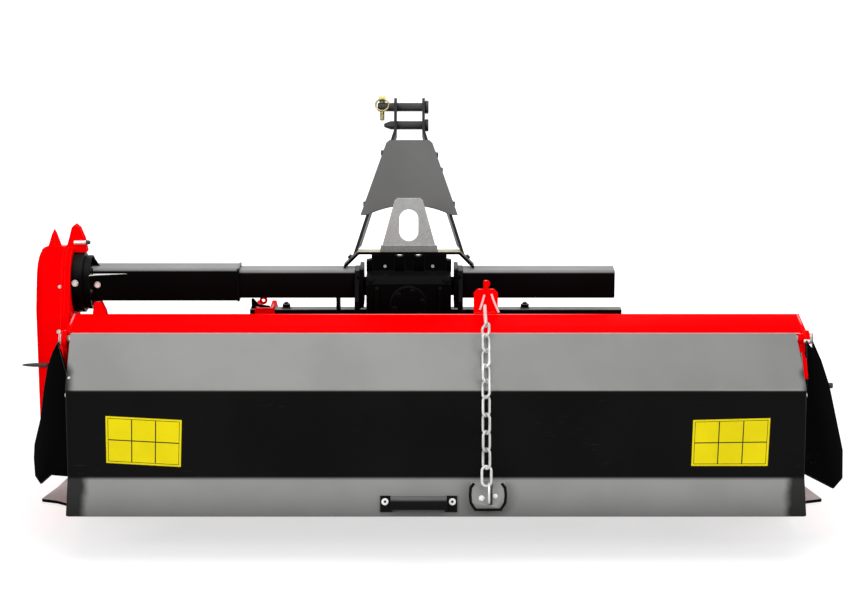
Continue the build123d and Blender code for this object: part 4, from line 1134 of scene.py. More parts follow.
class Hardware:
    """Models each kind of fastener once and sets its copies in place."""

    def __init__(self) -> None:
        """Starts with no model made."""
        self.masters: dict[Fastener, bpy.types.Object] = {}

    def master(self, kind: Fastener) -> bpy.types.Object:
        """The one model of a kind of fastener.

        Args:
            kind: the kind.

        Returns:
            The model, at the origin with its head up.
        """
        if kind not in self.masters:
            self.masters[kind] = getattr(self, kind.value)()
        return self.masters[kind]

    def washer(self) -> bpy.types.Object:
        """A flat washer with a rolled edge."""
        profile = [(0.0, 0.0), (0.97, 0.0), (1.0, 0.04), (1.0, 0.13), (0.95, 0.18), (0.0, 0.18)]
        return BENCH.turned("washer", [(r / MM, h / MM) for r, h in profile], Vector(), UP, 20)

    def hexagon(self, height: float) -> bpy.types.Object:
        """A hexagon with a chamfered top.

        Args:
            height: its height in washer radii.

        Returns:
            The hexagon, on top of a washer.
        """
        middle = (0.0, 0.0, 0.18 + height / 2)
        head = BENCH.primitive("hexagon", "cylinder", vertices=6, radius=0.84, depth=height, location=middle)
        BENCH.edit()
        BENCH.choose(head, "FACE", lambda face: face.normal.z > 0.9)
        bpy.ops.mesh.inset(thickness=0.1)
        bpy.ops.transform.translate(value=(0.0, 0.0, 0.06))
        bpy.ops.mesh.inset(thickness=0.16)
        bpy.ops.transform.translate(value=(0.0, 0.0, -0.03))
        return BENCH.close(40.0, 2)

    def hex_bolt(self) -> bpy.types.Object:
        """A hexagon bolt's head on its washer."""
        return BENCH.join("hex_bolt", [self.hexagon(0.55), self.washer()])

    def nut_on_stud(self) -> bpy.types.Object:
        """A nut on its washer, with the stud's end standing out of it.

        Returns:
            The nut, washer and stud as one model.
        """
        profile = [(0.0, 0.6), (0.42, 0.6), (0.42, 1.2), (0.33, 1.3), (0.0, 1.3)]
        stud = BENCH.turned("stud", [(r / MM, h / MM) for r, h in profile], Vector(), UP, 16)
        return BENCH.join("nut_on_stud", [self.hexagon(0.7), self.washer(), stud])

    def domed_head(self) -> bpy.types.Object:
        """A domed head with a small flat on top."""
        profile = [(0.0, 0.0), (1.0, 0.0), (1.0, 0.1), (0.9, 0.28), (0.68, 0.42), (0.3, 0.5), (0.0, 0.5)]
        return BENCH.turned("domed_head", [(r / MM, h / MM) for r, h in profile], Vector(), UP, 20)

    def fix(
        self,
        name: str,
        kind: Fastener,
        spots: Sequence[Vector],
        way: Vector,
        size: float,
        finish: Finish,
        body: Body = Body.ROOT,
    ) -> bpy.types.Object:
        """Sets a row of like fasteners, heads all one way.

        Args:
            name: the row's name.
            kind: the fastener.
            spots: where each washer lies.
            way: the direction that the heads point.
            size: the washer's radius in millimetres.
            finish: the fasteners' finish.
            body: the body that they ride on.

        Returns:
            The row as one piece.
        """
        turn = way.to_track_quat("Z", "Y").to_matrix().to_4x4() @ Matrix.Scale(size * MM, 4)
        places = [
            Matrix.Translation(spot) @ turn @ Matrix.Rotation(0.7 * index, 4, "Z")
            for index, spot in enumerate(spots)
        ]
        return settle(BENCH.twins(name, self.master(kind), places), body, finish)

    def put_away(self) -> None:
        """Takes the models off the bench once all copies are set."""
        for master in self.masters.values():
            bpy.data.objects.remove(master)
        self.masters.clear()


HARDWARE = Hardware()


def ring_of(centre: Vector, axis: Vector, radius: float, count: int, first: float = 0.0) -> list[Vector]:
    """Places evenly round an axis.

    Args:
        centre: the ring's centre.
        axis: its axis.
        radius: its radius in millimetres.
        count: how many places.
        first: the first place's angle in degrees.

    Returns:
        The places.
    """
    side = axis.orthogonal().normalized() * radius * MM
    turns = [radians(first + 360.0 * index / count) for index in range(count)]
    return [centre + Matrix.Rotation(turn, 3, axis) @ side for turn in turns]


# Sub-assemblies

SIDES: tuple[tuple[int, str, Vector], ...] = ((-1, "left", LEFT), (1, "right", RIGHT))


def across(y: float, outline: Iterable[Flat]) -> list[Vector]:
    """Places (x, z) on an upright plane across the machine, at one y."""
    return [at(x, y, z) for x, z in outline]


def edged(
    node: str, finish: Finish, width: float, segments: int = 2, angle: float = 38.0, body: Body = Body.ROOT
) -> None:
    """Stands a copy with truly rounded edges in for a frame node.

    Args:
        node: the frame node.
        finish: the piece's finish.
        width: the rounding in millimetres.
        segments: faces across the rounding.
        angle: the smallest corner that is rounded, in degrees.
        body: the body that it rides on.
    """
    settle(BENCH.softened(node, width, segments, angle), body, finish, node)


def weld(
    name: str, runs: Iterable[Sequence[Vector]], radius: float, finish: Finish, body: Body = Body.ROOT
) -> None:
    """Lays a rippled weld bead along each run, all as one piece.

    Args:
        name: the piece's name.
        runs: each bead's start and end.
        radius: the beads' radius in millimetres.
        finish: their finish.
        body: the body that they ride on.
    """
    beads = [BENCH.bead("bead", start, end, radius) for start, end in runs]
    settle(BENCH.join(name, beads), body, finish)


def copies(
    name: str, master: bpy.types.Object, places: Iterable[Matrix], finish: Finish, body: Body = Body.ROOT
) -> None:
    """Sets copies of a model in place as one piece, and takes the model away.

    Args:
        name: the piece's name.
        master: the model.
        places: one matrix a copy.
        finish: the copies' finish.
        body: the body that they ride on.
    """
    settle(BENCH.twins(name, master, places), body, finish)
    bpy.data.objects.remove(master)


def bent_sheet(
    name: str,
    line: Sequence[Flat],
    half: float,
    wall: float,
    fold: float,
    outward: Vector,
    ends: Vector | None = None,
    ends_below: float = 0.0,
) -> bpy.types.Object:
    """Folds a sheet along X from its outer line, with rounded folds and turned-in ends.

    Args:
        name: the sheet's name.
        line: the outer line's corners (y, z) in millimetres.
        half: half the sheet's length.
        wall: its thickness.
        fold: the folds' rounding.
        outward: a direction that the outer face looks in.
        ends: how far the ends turn in, or None for plain ends.
        ends_below: the height in millimetres under which the ends are turned.

    Returns:
        The folded sheet.
    """
    piece = BENCH.trace(name, [at(-half, y, z) for y, z in line], closed=False)
    BENCH.pull(step(2 * half, 0.0, 0.0))
    if ends is not None:
        middle, limit = at(0.0, 0.0, 0.0).x, ends_below * MM
        BENCH.choose(
            piece,
            "EDGE",
            lambda edge: all(abs(vert.co.x - middle) > 0.98 * half * MM for vert in edge.verts)
            and (edge.verts[0].co - edge.verts[1].co).length < half * MM
            and max(vert.co.z for vert in edge.verts) < limit,
        )
        bpy.ops.mesh.extrude_region_move(TRANSFORM_OT_translate={"value": ends})
    BENCH.choose(piece, "EDGE", lambda edge: len(edge.link_faces) == 2 and edge.calc_face_angle(0.0) > 0.12)
    bpy.ops.mesh.bevel(offset=fold * MM, segments=6, affect="EDGES")
    bpy.ops.mesh.select_all(action="SELECT")
    bpy.ops.mesh.normals_make_consistent(inside=False)
    mesh = bmesh.from_edit_mesh(piece.data)
    if sum(face.normal.dot(outward) * face.calc_area() for face in mesh.faces) < 0.0:
        bpy.ops.mesh.flip_normals()
    bpy.ops.object.mode_set(mode="OBJECT")
    BENCH.finish_with(piece, "SOLIDIFY", thickness=wall * MM, offset=-1.0, use_even_offset=True)
    BENCH.soften(piece, 0.7, 2, 50.0)
    return piece


@dataclass
class Gate:
    """The rear gate: its folded sheet, hinge, blank decals, wings, pull and chain catch."""

    line: tuple[Flat, ...] = ((-282.0, 437.0), (-372.0, 342.0), (-383.0, 164.0), (-421.0, 97.0))
    half: float = 735.0
    sheet: float = 4.0
    fold: float = 4.5
    end_turn: Point = (0.0, 50.0, 4.0)
    corner_z: float = 343.0
    corner_slant: Point = (95.0, 0.0, 11.5)
    band_normal: Point = (0.0, -0.87, 0.493)
    knuckle: tuple[Flat, ...] = (
        (7.2, 0.0), (9.2, 0.0), (9.6, 0.6), (9.6, 89.4), (9.2, 90.0), (7.2, 90.0), (7.2, 0.0)
    )
    knuckles_x: tuple[float, ...] = (-715.0, -440.0, -190.0, 150.0, 400.0, 625.0)
    collar: tuple[Flat, ...] = (
        (7.1, 0.0), (10.5, 0.0), (11.0, 0.6), (11.0, 4.4), (10.5, 5.0), (7.1, 5.0), (7.1, 0.0)
    )
    collars_x: tuple[float, ...] = (-756.0, 750.6)
    cross_pin: tuple[Flat, ...] = ((0.0, 0.0), (3.0, 0.4), (3.3, 1.2), (3.3, 11.0), (2.6, 12.4), (0.0, 12.8))
    cross_pin_place: Point = (737.6, -294.6, 424.0)
    boss: tuple[Flat, ...] = ((7.4, 0.0), (9.9, 0.0), (10.4, 0.6), (10.4, 13.4), (7.4, 13.4), (7.4, 0.0))
    boss_x: float = 728.0
    clip: tuple[Flat, ...] = (
        (0.0, 13.0), (0.0, -12.0), (-3.0, -17.0), (-8.0, -14.0), (-9.0, 0.0), (-6.0, 9.0), (1.0, 12.0)
    )
    clip_x: float = 757.4
    decals: tuple[tuple[str, tuple[Flat, ...]], ...] = (
        ("blank_decal_left", ((-656.6, 290.4), (-504.0, 282.3), (-507.7, 187.0), (-656.8, 195.2))),
        ("blank_decal_right", ((509.9, 282.3), (664.5, 286.4), (660.8, 189.1), (507.6, 189.1))),
    )
    decal_margin: Flat = (0.03, 0.04)
    decal_border: Point = (1.055, 1.0, 1.085)
    end_bolts: tuple[tuple[str, Point, Point, float], ...] = (
        ("gate_end_bolts_left", (-735.0, -362.0, 330.0), (-1.0, 0.0, 0.0), 5.0),
        ("gate_band_rivet", (-729.5, -352.4, 362.6), (0.0, -0.726, 0.688), 3.2),
        ("gate_end_bolts_right", (735.0, -362.0, 330.0), (1.0, 0.0, 0.0), 5.0),
    )
    pull_bolts: tuple[Point, ...] = ((-101.3, -407.1, 121.5), (32.3, -407.1, 121.5))
    pull_seat: float = 4.1
    pull_washer: tuple[Flat, ...] = (
        (2.6, 0.0), (6.6, 0.0), (7.2, 0.5), (7.2, 1.2), (6.6, 1.8), (2.6, 1.8), (2.6, 0.0)
    )
    catch_shade_rim: tuple[Point, ...] = (
        (75.0, -405.6, 160.0),
        (68.6, -410.0, 152.5),
        (67.8, -416.5, 139.0),
        (69.0, -424.0, 126.0),
        (78.0, -431.0, 113.6),
        (128.0, -431.0, 113.6),
        (136.5, -424.0, 126.0),
        (138.0, -416.5, 139.0),
        (137.0, -410.0, 152.5),
        (130.5, -405.6, 160.0),
    )
    catch_welds: tuple[tuple[str, Point, float], ...] = (
        ("catch_weld_left", (90.4, -420.0, 134.0), 6.4),
        ("catch_weld_right", (117.5, -418.0, 137.5), 5.0),
    )

    def build(self) -> None:
        """Builds and dresses the whole gate."""
        self.build_sheet()
        self.build_hinge()
        for name, corners in self.decals:
            self.build_decal(name, corners)
        self.build_wings()
        self.build_pull()
        self.build_catch()

    def build_sheet(self) -> None:
        """The sheet with its rounded folds, its ends turned forward and its slanted right corner."""
        sizes = (self.line, self.half, self.sheet, self.fold)
        turned = (step(*self.end_turn), self.line[1][1] + 1.0)
        sheet = bent_sheet("gate_folded_sheet", *sizes, Vector((0.0, -1.0, 0.2)), *turned)
        BENCH.cut(sheet, at(self.half, 0.0, self.corner_z), Vector(self.corner_slant).normalized())
        # The gate's enamel paints its up-facing bands grey, a painted reflection of the sky.
        settle(sheet, Body.GATE, GATE_BLACK, "gate_sheet")
        ends = [side * (self.half - 3.0) for side in (-1, 1)]
        runs = [(at(x, -360.0, 338.0), at(x, -300.0, 400.0)) for x in ends]
        weld("gate_end_beads", runs, 2.2, BLACK, Body.GATE)

    def build_hinge(self) -> None:
        """The rod's rounded ends, and the knuckles, collars, cross pin, boss and clips on it."""
        edged("gate_rod", ZINC, 1.2, 3, body=Body.GATE)
        for name, model, profile, places, finish in (
            ("hinge_knuckles", "knuckle", self.knuckle, self.knuckles_x, BLACK),
            ("hinge_collars", "collar", self.collar, self.collars_x, ZINC),
        ):
            master = BENCH.turned(model, profile, Vector(), RIGHT, 20)
            copies(name, master, [Matrix.Translation(at(x, *HINGE)) for x in places], finish, Body.GATE)
        cross = BENCH.turned("hinge_cross_pin", self.cross_pin, at(*self.cross_pin_place), RIGHT, 14)
        settle(cross, Body.GATE, BRIGHT)
        boss = BENCH.turned("hinge_boss_right", self.boss, at(self.boss_x, *HINGE), RIGHT, 24)
        settle(boss, Body.ROOT, RED)
        for name, x in (("hinge_clip_right", self.clip_x), ("hinge_clip_left", -self.clip_x)):
            loop = [at(x, HINGE[0] + y, HINGE[1] + z) for y, z in self.clip]
            settle(BENCH.wire(name, loop, 1.1), Body.GATE, ZINC)

    def build_decal(self, name: str, corners: tuple[Flat, ...]) -> None:
        """A blank yellow decal with thin printed keylines round its empty cells.

        Args:
            name: the decal's name.
            corners: its corners (x, z) on the gate's middle band, from the top left round.
        """
        (top_y, top_z), (low_y, low_z) = self.line[1], self.line[2]
        top_left, top_right, low_right, low_left = [
            at(x, top_y + (low_y - top_y) * (top_z - z) / (top_z - low_z) - 0.25, z) for x, z in corners
        ]
        piece = BENCH.primitive(name, "grid", x_subdivisions=3, y_subdivisions=2, size=1.0)
        for vertex in piece.data.vertices:
            along, up = (
                margin + (1.0 - 2.0 * margin) * (place + 0.5)
                for margin, place in zip(self.decal_margin, vertex.co)
            )
            vertex.co = low_left.lerp(low_right, along).lerp(top_left.lerp(top_right, along), up)
        BENCH.edit()
        bpy.ops.mesh.inset(thickness=1.1 * MM, use_individual=True)
        BENCH.choose(piece, "EDGE", lambda edge: len(edge.link_faces) == 1)
        bpy.ops.mesh.extrude_region_move(TRANSFORM_OT_translate={"value": (0.0, 0.0, 0.0)})
        bpy.ops.transform.resize(value=self.decal_border)
        bpy.ops.mesh.select_all(action="SELECT")
        bpy.ops.mesh.normals_make_consistent(inside=False)
        bpy.ops.object.mode_set(mode="OBJECT")
        self.print_keylines(piece)
        BENCH.finish_with(piece, "SOLIDIFY", thickness=0.3 * MM, offset=0.0)
        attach(piece, Body.GATE.value)
        log.info("%s: %d faces", piece.name, len(piece.data.polygons))

    def print_keylines(self, piece: bpy.types.Object) -> None:
        """Gives the rings round the cells their dark print and the rest the yellow film.

        Args:
            piece: the decal with its cells inset.
        """
        for finish in (YELLOW_FILM, PRINT):
            piece.data.materials.append(WARDROBE.material(finish))
        faces_at: dict[tuple[int, int], int] = {}
        for face in piece.data.polygons:
            for key in face.edge_keys:
                faces_at[key] = faces_at.get(key, 0) + 1
        cell = max(face.area for face in piece.data.polygons)
        for face in piece.data.polygons:
            if face.area < 0.5 * cell and all(faces_at[key] > 1 for key in face.edge_keys):
                face.material_index = 1

    def build_wings(self) -> None:
        """The flared wings with their beads, and the small zinc bolts at the gate's ends."""
        for side, word, _ in SIDES:
            node, x = f"gate_wing_{word}", side * (self.half + 2.0)
            edged(node, WING_BLACK, 0.9, body=Body.GATE)
            weld(f"{node}_bead", [(at(x, -352.0, 175.0), at(x, -318.0, 330.0))], 2.4, BLACK, Body.GATE)
        for name, spot, way, size in self.end_bolts:
            HARDWARE.fix(name, Fastener.DOME, [at(*spot)], Vector(way), size, ZINC, Body.GATE)

    def build_pull(self) -> None:
        """The moulded pull with its two screws on pale washers."""
        edged("gate_handle", PLASTIC, 1.4, 3, body=Body.GATE)
        way = Vector(self.band_normal)
        seats = [at(*spot) + way * self.pull_seat * MM for spot in self.pull_bolts]
        washer = BENCH.turned("pull_washer", self.pull_washer, Vector(), UP, 24)
        turn = way.to_track_quat("Z", "Y").to_matrix().to_4x4()
        copies("pull_washers", washer, [Matrix.Translation(seat) @ turn for seat in seats], BRIGHT, Body.GATE)
        HARDWARE.fix("pull_screws", Fastener.DOME, seats, way, 3.4, PLASTIC, Body.GATE)

    def build_catch(self) -> None:
        """The slotted chain catch, with a dark rim of painted shade round it and two bright plug welds whose pale
        zinc is also a painted glint beside the link.
        """
        edged("chain_catch", CATCH_BLACK, 1.0, 3, body=Body.GATE)
        # A near-black wire along the catch's sides and bottom, painted shade where it stands off the gate.
        rim = [at(*place) for place in self.catch_shade_rim]
        settle(BENCH.wire("chain_catch_shade_rim", rim, 3.0, bumps=0.02), Body.GATE, DEEP_BLACK)
        # Bright zinc domes for the plug welds, pale enough to be painted glints beside the link.
        for name, spot, size in self.catch_welds:
            HARDWARE.fix(name, Fastener.DOME, [at(*spot)], Vector(self.band_normal), size, BRIGHT, Body.GATE)


@dataclass
class Chain:
    """The gate's chain, link by link from the hood's lug to its catch."""

    path: tuple[Point, ...] = (
        (100.0, -265.0, 449.0),
        (100.0, -296.0, 436.2),
        (99.0, -381.36, 346.07),
        (100.0, -414.0, 176.0),
        (107.0, -424.56, 127.21),
    )
    blend_start: Point = (100.0, -262.0, 446.0)
    blend_end: Point = (100.0, -300.0, 425.0)
    links: int = 11
    wire: float = 2.75
    turn_radius: float = 9.25
    half_run: float = 10.5
    roll: float = 45.0

    def build(self) -> None:
        """Builds the chain and sets it in place; it is not set on the gate's body."""
        link = self.link()
        piece = BENCH.twins("gate_chain", link, self.places())
        bpy.data.objects.remove(link)
        WARDROBE.dress(piece, CHAIN_ZINC)
        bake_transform(piece)
        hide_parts("chain")
        log.info("%s: %d links", piece.name, self.links)

    def link(self) -> bpy.types.Object:
        """One round-ended link round the origin, with its length along X.

        Returns:
            The link.
        """
        start = (self.half_run * MM, self.turn_radius * MM, 0.0)
        piece = BENCH.primitive(
            "link", "circle", vertices=10, radius=self.wire * MM, location=start, rotation=(0.0, pi / 2, 0.0)
        )
        BENCH.edit()
        for side in (1, -1):
            centre = (side * self.half_run * MM, 0.0, 0.0)
            bpy.ops.mesh.spin(steps=9, angle=pi, center=centre, axis=UP)
            run = (-side * 2 * self.half_run * MM, 0.0, 0.0)
            bpy.ops.mesh.extrude_region_move(TRANSFORM_OT_translate={"value": run})
        bpy.ops.mesh.select_all(action="SELECT")
        bpy.ops.mesh.remove_doubles(threshold=0.01 * MM)
        return BENCH.close()

    def places(self) -> list[Matrix]:
        """Where each link lies, a quarter turn from the last, the last two flat and on edge in the catch.

        Returns:
            One matrix a link.
        """
        pitch = sum(dist(a, b) for a, b in zip(self.path, self.path[1:])) / self.links
        places = []
        for index in range(self.links):
            place, tilt = self.along(pitch * (index + 0.5))
            in_catch = index - self.links + 2
            roll = self.roll + 90.0 * (index % 2) if in_catch < 0 else 90.0 * in_catch
            turn = Matrix.Rotation(tilt, 4, "X") @ Matrix.Rotation(radians(roll), 4, "Y")
            places.append(Matrix.Translation(at(*place)) @ turn @ Matrix.Rotation(pi / 2, 4, "Z"))
        return places

    def along(self, distance: float) -> tuple[Point, float]:
        """The place on the path at a distance, and the path's angle there.

        Args:
            distance: millimetres from the path's start.

        Returns:
            The place and the angle in radians.
        """
        for start, end in zip(self.path, self.path[1:]):
            length = dist(start, end)
            if distance <= length or end == self.path[-1]:
                place = tuple(a + (b - a) * distance / length for a, b in zip(start, end))
                return place, atan2(end[2] - start[2], end[1] - start[1])
            distance -= length
        return self.path[-1], 0.0


@dataclass
class Hood:
    """The hood: its folded sheet, end plates, stiffener and chain lug."""

    line: tuple[Flat, ...] = (
        (-258.0, 433.0),
        (-148.0, 446.9),
        (-0.1, 408.0),
        (114.9, 345.0),
        (185.4, 234.8),
        (187.0, 171.6),
        (205.0, 171.6),
    )
    half: float = 742.0
    sheet: float = 4.0
    fold: float = 5.0
    lip: Flat = (-258.3, 431.0)
    plate_return: tuple[Point, ...] = (
        (716.0, -281.0, 421.0),
        (742.0, -281.0, 421.0),
        (742.0, -340.5, 358.5),
        (730.0, -340.5, 358.5),
    )
    ear_ring: tuple[Flat, ...] = (
        (7.4, 0.0), (15.0, 0.0), (16.0, 0.6), (16.0, 2.0), (15.0, 2.8), (7.4, 2.8), (7.4, 0.0)
    )
    ear_rings_x: tuple[float, ...] = (-752.8, 739.2)
    plate_bolts: tuple[Flat, ...] = ((-40.0, 350.0), (60.0, 330.0), (140.0, 240.0), (-200.0, 330.0))
    chain_x: float = 103.0
    lug_beads: tuple[Flat, ...] = ((-149.0, 448.5), (-135.0, 446.0))
    lug_half: float = 23.0
    hook: tuple[Flat, ...] = (
        (-140.0, 466.0), (-149.0, 464.0), (-160.0, 457.0), (-190.0, 452.0), (-230.0, 448.5), (-254.0, 446.0)
    )
    knob: tuple[Flat, ...] = (
        (0.0, 0.0), (3.5, 0.0), (4.6, 2.0), (5.8, 5.0), (6.0, 8.0), (5.0, 11.0), (2.8, 12.8), (0.0, 13.3)
    )
    knob_place: Point = (106.0, -142.0, 502.5)
    lug_gussets: tuple[tuple[Flat, ...], ...] = (
        ((100.0, 487.0), (96.0, 471.0), (91.0, 456.0)),
        ((114.5, 489.0), (120.0, 470.0), (130.0, 450.0)),
    )
    stiffener_bolts: tuple[Point, ...] = ((-322.0, 62.0, 411.6), (192.0, 62.0, 411.6))
    eye: tuple[Flat, ...] = (
        (3.6, 0.0), (8.0, 0.0), (8.6, 0.6), (8.6, 5.4), (8.0, 6.0), (3.6, 6.0), (3.6, 0.0)
    )
    eye_place: Point = (-371.4, 60.0, 429.0)
    tab: tuple[Flat, ...] = (
        (-392.0, 380.0), (-381.0, 380.0), (-381.0, 417.0), (-384.0, 420.0), (-392.0, 420.0)
    )
    clamp: tuple[Flat, ...] = (
        (-397.0, 380.0), (-357.0, 380.0), (-357.0, 418.0), (-381.0, 421.0), (-392.0, 434.0), (-397.0, 434.0)
    )

    def build(self) -> None:
        """Builds and dresses the whole hood."""
        outward = Vector((0.0, 0.3, 1.0))
        sheet = bent_sheet("hood_folded_sheet", self.line, self.half, self.sheet, self.fold, outward)
        settle(sheet, Body.ROOT, RED, "hood_shell")
        # A thin pale red wire along the hood's lower rear edge, a painted highlight line.
        lip = [at(x, *self.lip) for x in (6.0 - self.half, 0.0, self.half - 6.0)]
        settle(BENCH.wire("hood_lip_highlight", lip, 1.0), Body.ROOT, RED_GLINT)
        wedge = [at(*place) for place in self.plate_return]
        settle(BENCH.plate("right_plate_return", wedge, step(0.0, 3.6, -3.6)), Body.ROOT, RED)
        for _, word, _ in SIDES:
            edged(f"side_plate_{word}", RED, 1.2, 3)
        edged("hood_stiffener", BLACK, 1.5, 3)
        self.build_ears()
        self.build_lug()
        self.build_front()

    def build_ears(self) -> None:
        """The pressed rings round the hinge holes, and the bolts and beads of the end plates."""
        ring = BENCH.turned("ear_ring", self.ear_ring, Vector(), RIGHT, 28)
        copies("hinge_ear_rings", ring, [Matrix.Translation(at(x, *HINGE)) for x in self.ear_rings_x], RED)
        spots = [at(750.0, y, z) for y, z in self.plate_bolts]
        HARDWARE.fix("right_plate_bolts", Fastener.HEX, spots, RIGHT, 9.0, ZINC)
        runs = [
            (at(side * 740.0, y1, z1 - 6.0), at(side * 740.0, y2, z2 - 6.0))
            for side in (-1, 1)
            for (y1, z1), (y2, z2) in zip(self.line[:3], self.line[1:4])
        ]
        weld("hood_end_beads", runs, 3.0, RED)

    def build_lug(self) -> None:
        """The chain's lug with its knob, its two gussets in pale red as painted highlights, and the hook through
        it.
        """
        edged("chain_bracket", RED, 2.2, 4)
        low, high = self.chain_x - self.lug_half, self.chain_x + self.lug_half
        weld("chain_lug_beads", [(at(low, y, z), at(high, y, z)) for y, z in self.lug_beads], 2.6, RED)
        hook = [at(self.chain_x - 2.0, y, z) for y, z in self.hook]
        settle(BENCH.wire("chain_hook", hook, 3.6), Body.ROOT, BRIGHT)
        settle(BENCH.turned("chain_lug_knob", self.knob, at(*self.knob_place), UP, 20), Body.ROOT, RED)
        # The two gussets are pale red wires, painted highlights on the lug.
        gussets = [BENCH.wire("gusset", across(-150.0, line), 2.3) for line in self.lug_gussets]
        settle(BENCH.join("chain_lug_gussets", gussets), Body.ROOT, RED_GLINT)

    def build_front(self) -> None:
        """The bolts seen over the hood beside the gearbox, with the eye, its tab and its clamp."""
        spots = [at(*spot) for spot in self.stiffener_bolts]
        HARDWARE.fix("stiffener_bolts", Fastener.NUT, spots, UP, 11.0, BLACK)
        settle(BENCH.turned("hitch_eye", self.eye, at(*self.eye_place), FRONT, 24), Body.ROOT, RED)
        for name, outline, y, wall, finish in (
            ("hitch_tab", self.tab, 58.0, 6.0, RED),
            ("hitch_clamp", self.clamp, 57.0, 4.0, DEEP_BLACK),
        ):
            settle(BENCH.plate(name, across(y, outline), step(0.0, wall, 0.0), 1.0), Body.ROOT, finish)


@dataclass
class DriveSide:
    """The side drive: its case, pressed cover, flange and the tube that carries it."""

    seam_x: float = -776.0
    outer_x: float = -838.5
    top: Flat = (0.0, 483.0)
    bottom: Flat = (-85.0, 205.0)
    top_radius: float = 78.0
    bottom_radius: float = 86.0
    rim: float = 7.0
    brow: float = 24.0
    steps: int = 14
    taper_from: float = 440.0
    taper_slant: Point = (-235.0, 0.0, -14.0)
    lug_from: float = 70.0
    ear_pin: Point = (-764.0, -13.0, 571.0)
    plugs: tuple[tuple[str, Point, Point, float, Finish], ...] = (
        ("case_plug", (-757.0, -62.6, 493.0), (0.0, -1.0, 0.0), 7.5, ZINC),
        ("case_rear_bolt", (-786.0, -80.0, 489.0), (0.0, -1.0, 0.0), 4.2, ZINC),
        ("sleeve_plug", (-714.0, -34.6, 484.0), (0.0, -1.0, 0.0), 7.0, BRIGHT),
        ("case_low_plug", (-786.0, -108.0, 399.0), (0.0, -0.96, 0.29), 6.0, ZINC),
    )
    pin: tuple[Flat, ...] = ((0.0, 0.0), (3.6, 0.0), (4.2, 1.0), (4.2, 26.0), (0.0, 26.0))
    pin_tip: tuple[Flat, ...] = ((0.0, 0.0), (4.6, 0.0), (4.6, 6.0), (3.0, 9.0), (0.0, 9.0))
    rear_gusset: tuple[Flat, ...] = (
        (-728.5, -32.0), (-728.5, -56.0), (-716.0, -50.0), (-650.0, -35.0), (-648.0, -32.0)
    )
    top_gusset: tuple[Flat, ...] = (
        (-728.5, 515.0), (-728.5, 540.0), (-724.0, 536.0), (-713.0, 519.0), (-709.0, 515.0)
    )
    flange_rim: tuple[Flat, ...] = (
        (45.0, -0.4), (56.6, -0.4), (57.2, 0.4), (57.2, 13.9), (56.6, 14.7), (45.0, 14.7), (45.0, -0.4)
    )
    root_bead: tuple[Point, ...] = ((-723.0, -44.0, 523.0), (-722.0, -46.0, 505.0), (-724.0, -45.0, 492.0))
    foot: tuple[Flat, ...] = (
        (-726.0, 412.0), (-694.0, 412.0), (-697.0, 428.0), (-706.0, 447.5), (-722.0, 447.5)
    )
    sleeve_end: float = -417.0
    sleeve_half: float = 33.0

    def build(self) -> None:
        """Builds and dresses the drive side."""
        edged("gear_case", RED, 2.0, 3)
        self.build_cover()
        edged("drive_flange", DEEP_BLACK, 2.0, 3)
        edged("sleeve_tube", BLACK, 1.0)
        edged("left_beam", BLACK, 0.8)
        self.build_bolts()
        self.build_gussets()
        self.build_foot()
        half = self.sleeve_half
        corners = [
            at(self.sleeve_end, self.top[0] + y, self.top[1] + z)
            for y, z in ((-half, -half), (-half, half), (half, half), (half, -half), (-half, -half))
        ]
        weld("sleeve_end_bead", zip(corners, corners[1:]), 2.6, BLACK)

    def outline(self, x: float, inset: float) -> list[Vector]:
        """The case's outline round its two axes.

        Args:
            x: where along the machine.
            inset: how far inside the case's own outline.

        Returns:
            The outline's points.
        """
        big, small = self.bottom_radius - inset, self.top_radius - inset
        heading = atan2(self.top[1] - self.bottom[1], self.top[0] - self.bottom[0])
        lean = acos((big - small) / dist(self.top, self.bottom))
        points = []
        for centre, radius, start, end in (
            (self.top, small, heading - lean, heading + lean),
            (self.bottom, big, heading + lean, heading + 2 * pi - lean),
        ):
            for index in range(self.steps + 1):
                angle = start + (end - start) * index / self.steps
                points.append(at(x, centre[0] + radius * cos(angle), centre[1] + radius * sin(angle)))
        return points

    def build_cover(self) -> None:
        """The pressed cover: a flat rim, a rounded wall, a face that tapers to the foot, and its lug."""
        piece = BENCH.trace("case_pressed_cover", self.outline(self.seam_x, -1.3))
        BENCH.pull(step(-self.rim, 0.0, 0.0))
        bpy.ops.mesh.inset(thickness=1.0 * MM)
        depth = self.outer_x - self.seam_x + self.rim
        bpy.ops.mesh.extrude_region_move(TRANSFORM_OT_translate={"value": step(depth, 0.0, 0.0)})
        bpy.ops.mesh.select_all(action="SELECT")
        start, slant = at(self.outer_x, 0.0, self.taper_from), Vector(self.taper_slant).normalized()
        bpy.ops.mesh.bisect(plane_co=start, plane_no=slant, use_fill=True, clear_outer=True)
        near_face = at(self.outer_x + 16.0, 0.0, 0.0).x
        BENCH.choose(
            piece,
            "EDGE",
            lambda edge: max(vert.co.x for vert in edge.verts) < near_face
            and len(edge.link_faces) == 2
            and edge.calc_face_angle(0.0) > 1.0,
        )
        bpy.ops.mesh.bevel(offset=self.brow * MM, segments=9, affect="EDGES")
        BENCH.close(0.5, 2, 40.0)
        lug = BENCH.softened("gear_case_cover", 1.0, 2)
        BENCH.cut(lug, at(0.0, 0.0, self.top[1] + self.lug_from), -UP)
        lug.name = "case_cover_lug"
        settle(piece, Body.ROOT, RED, "gear_case_cover")
        settle(lug, Body.ROOT, RED)

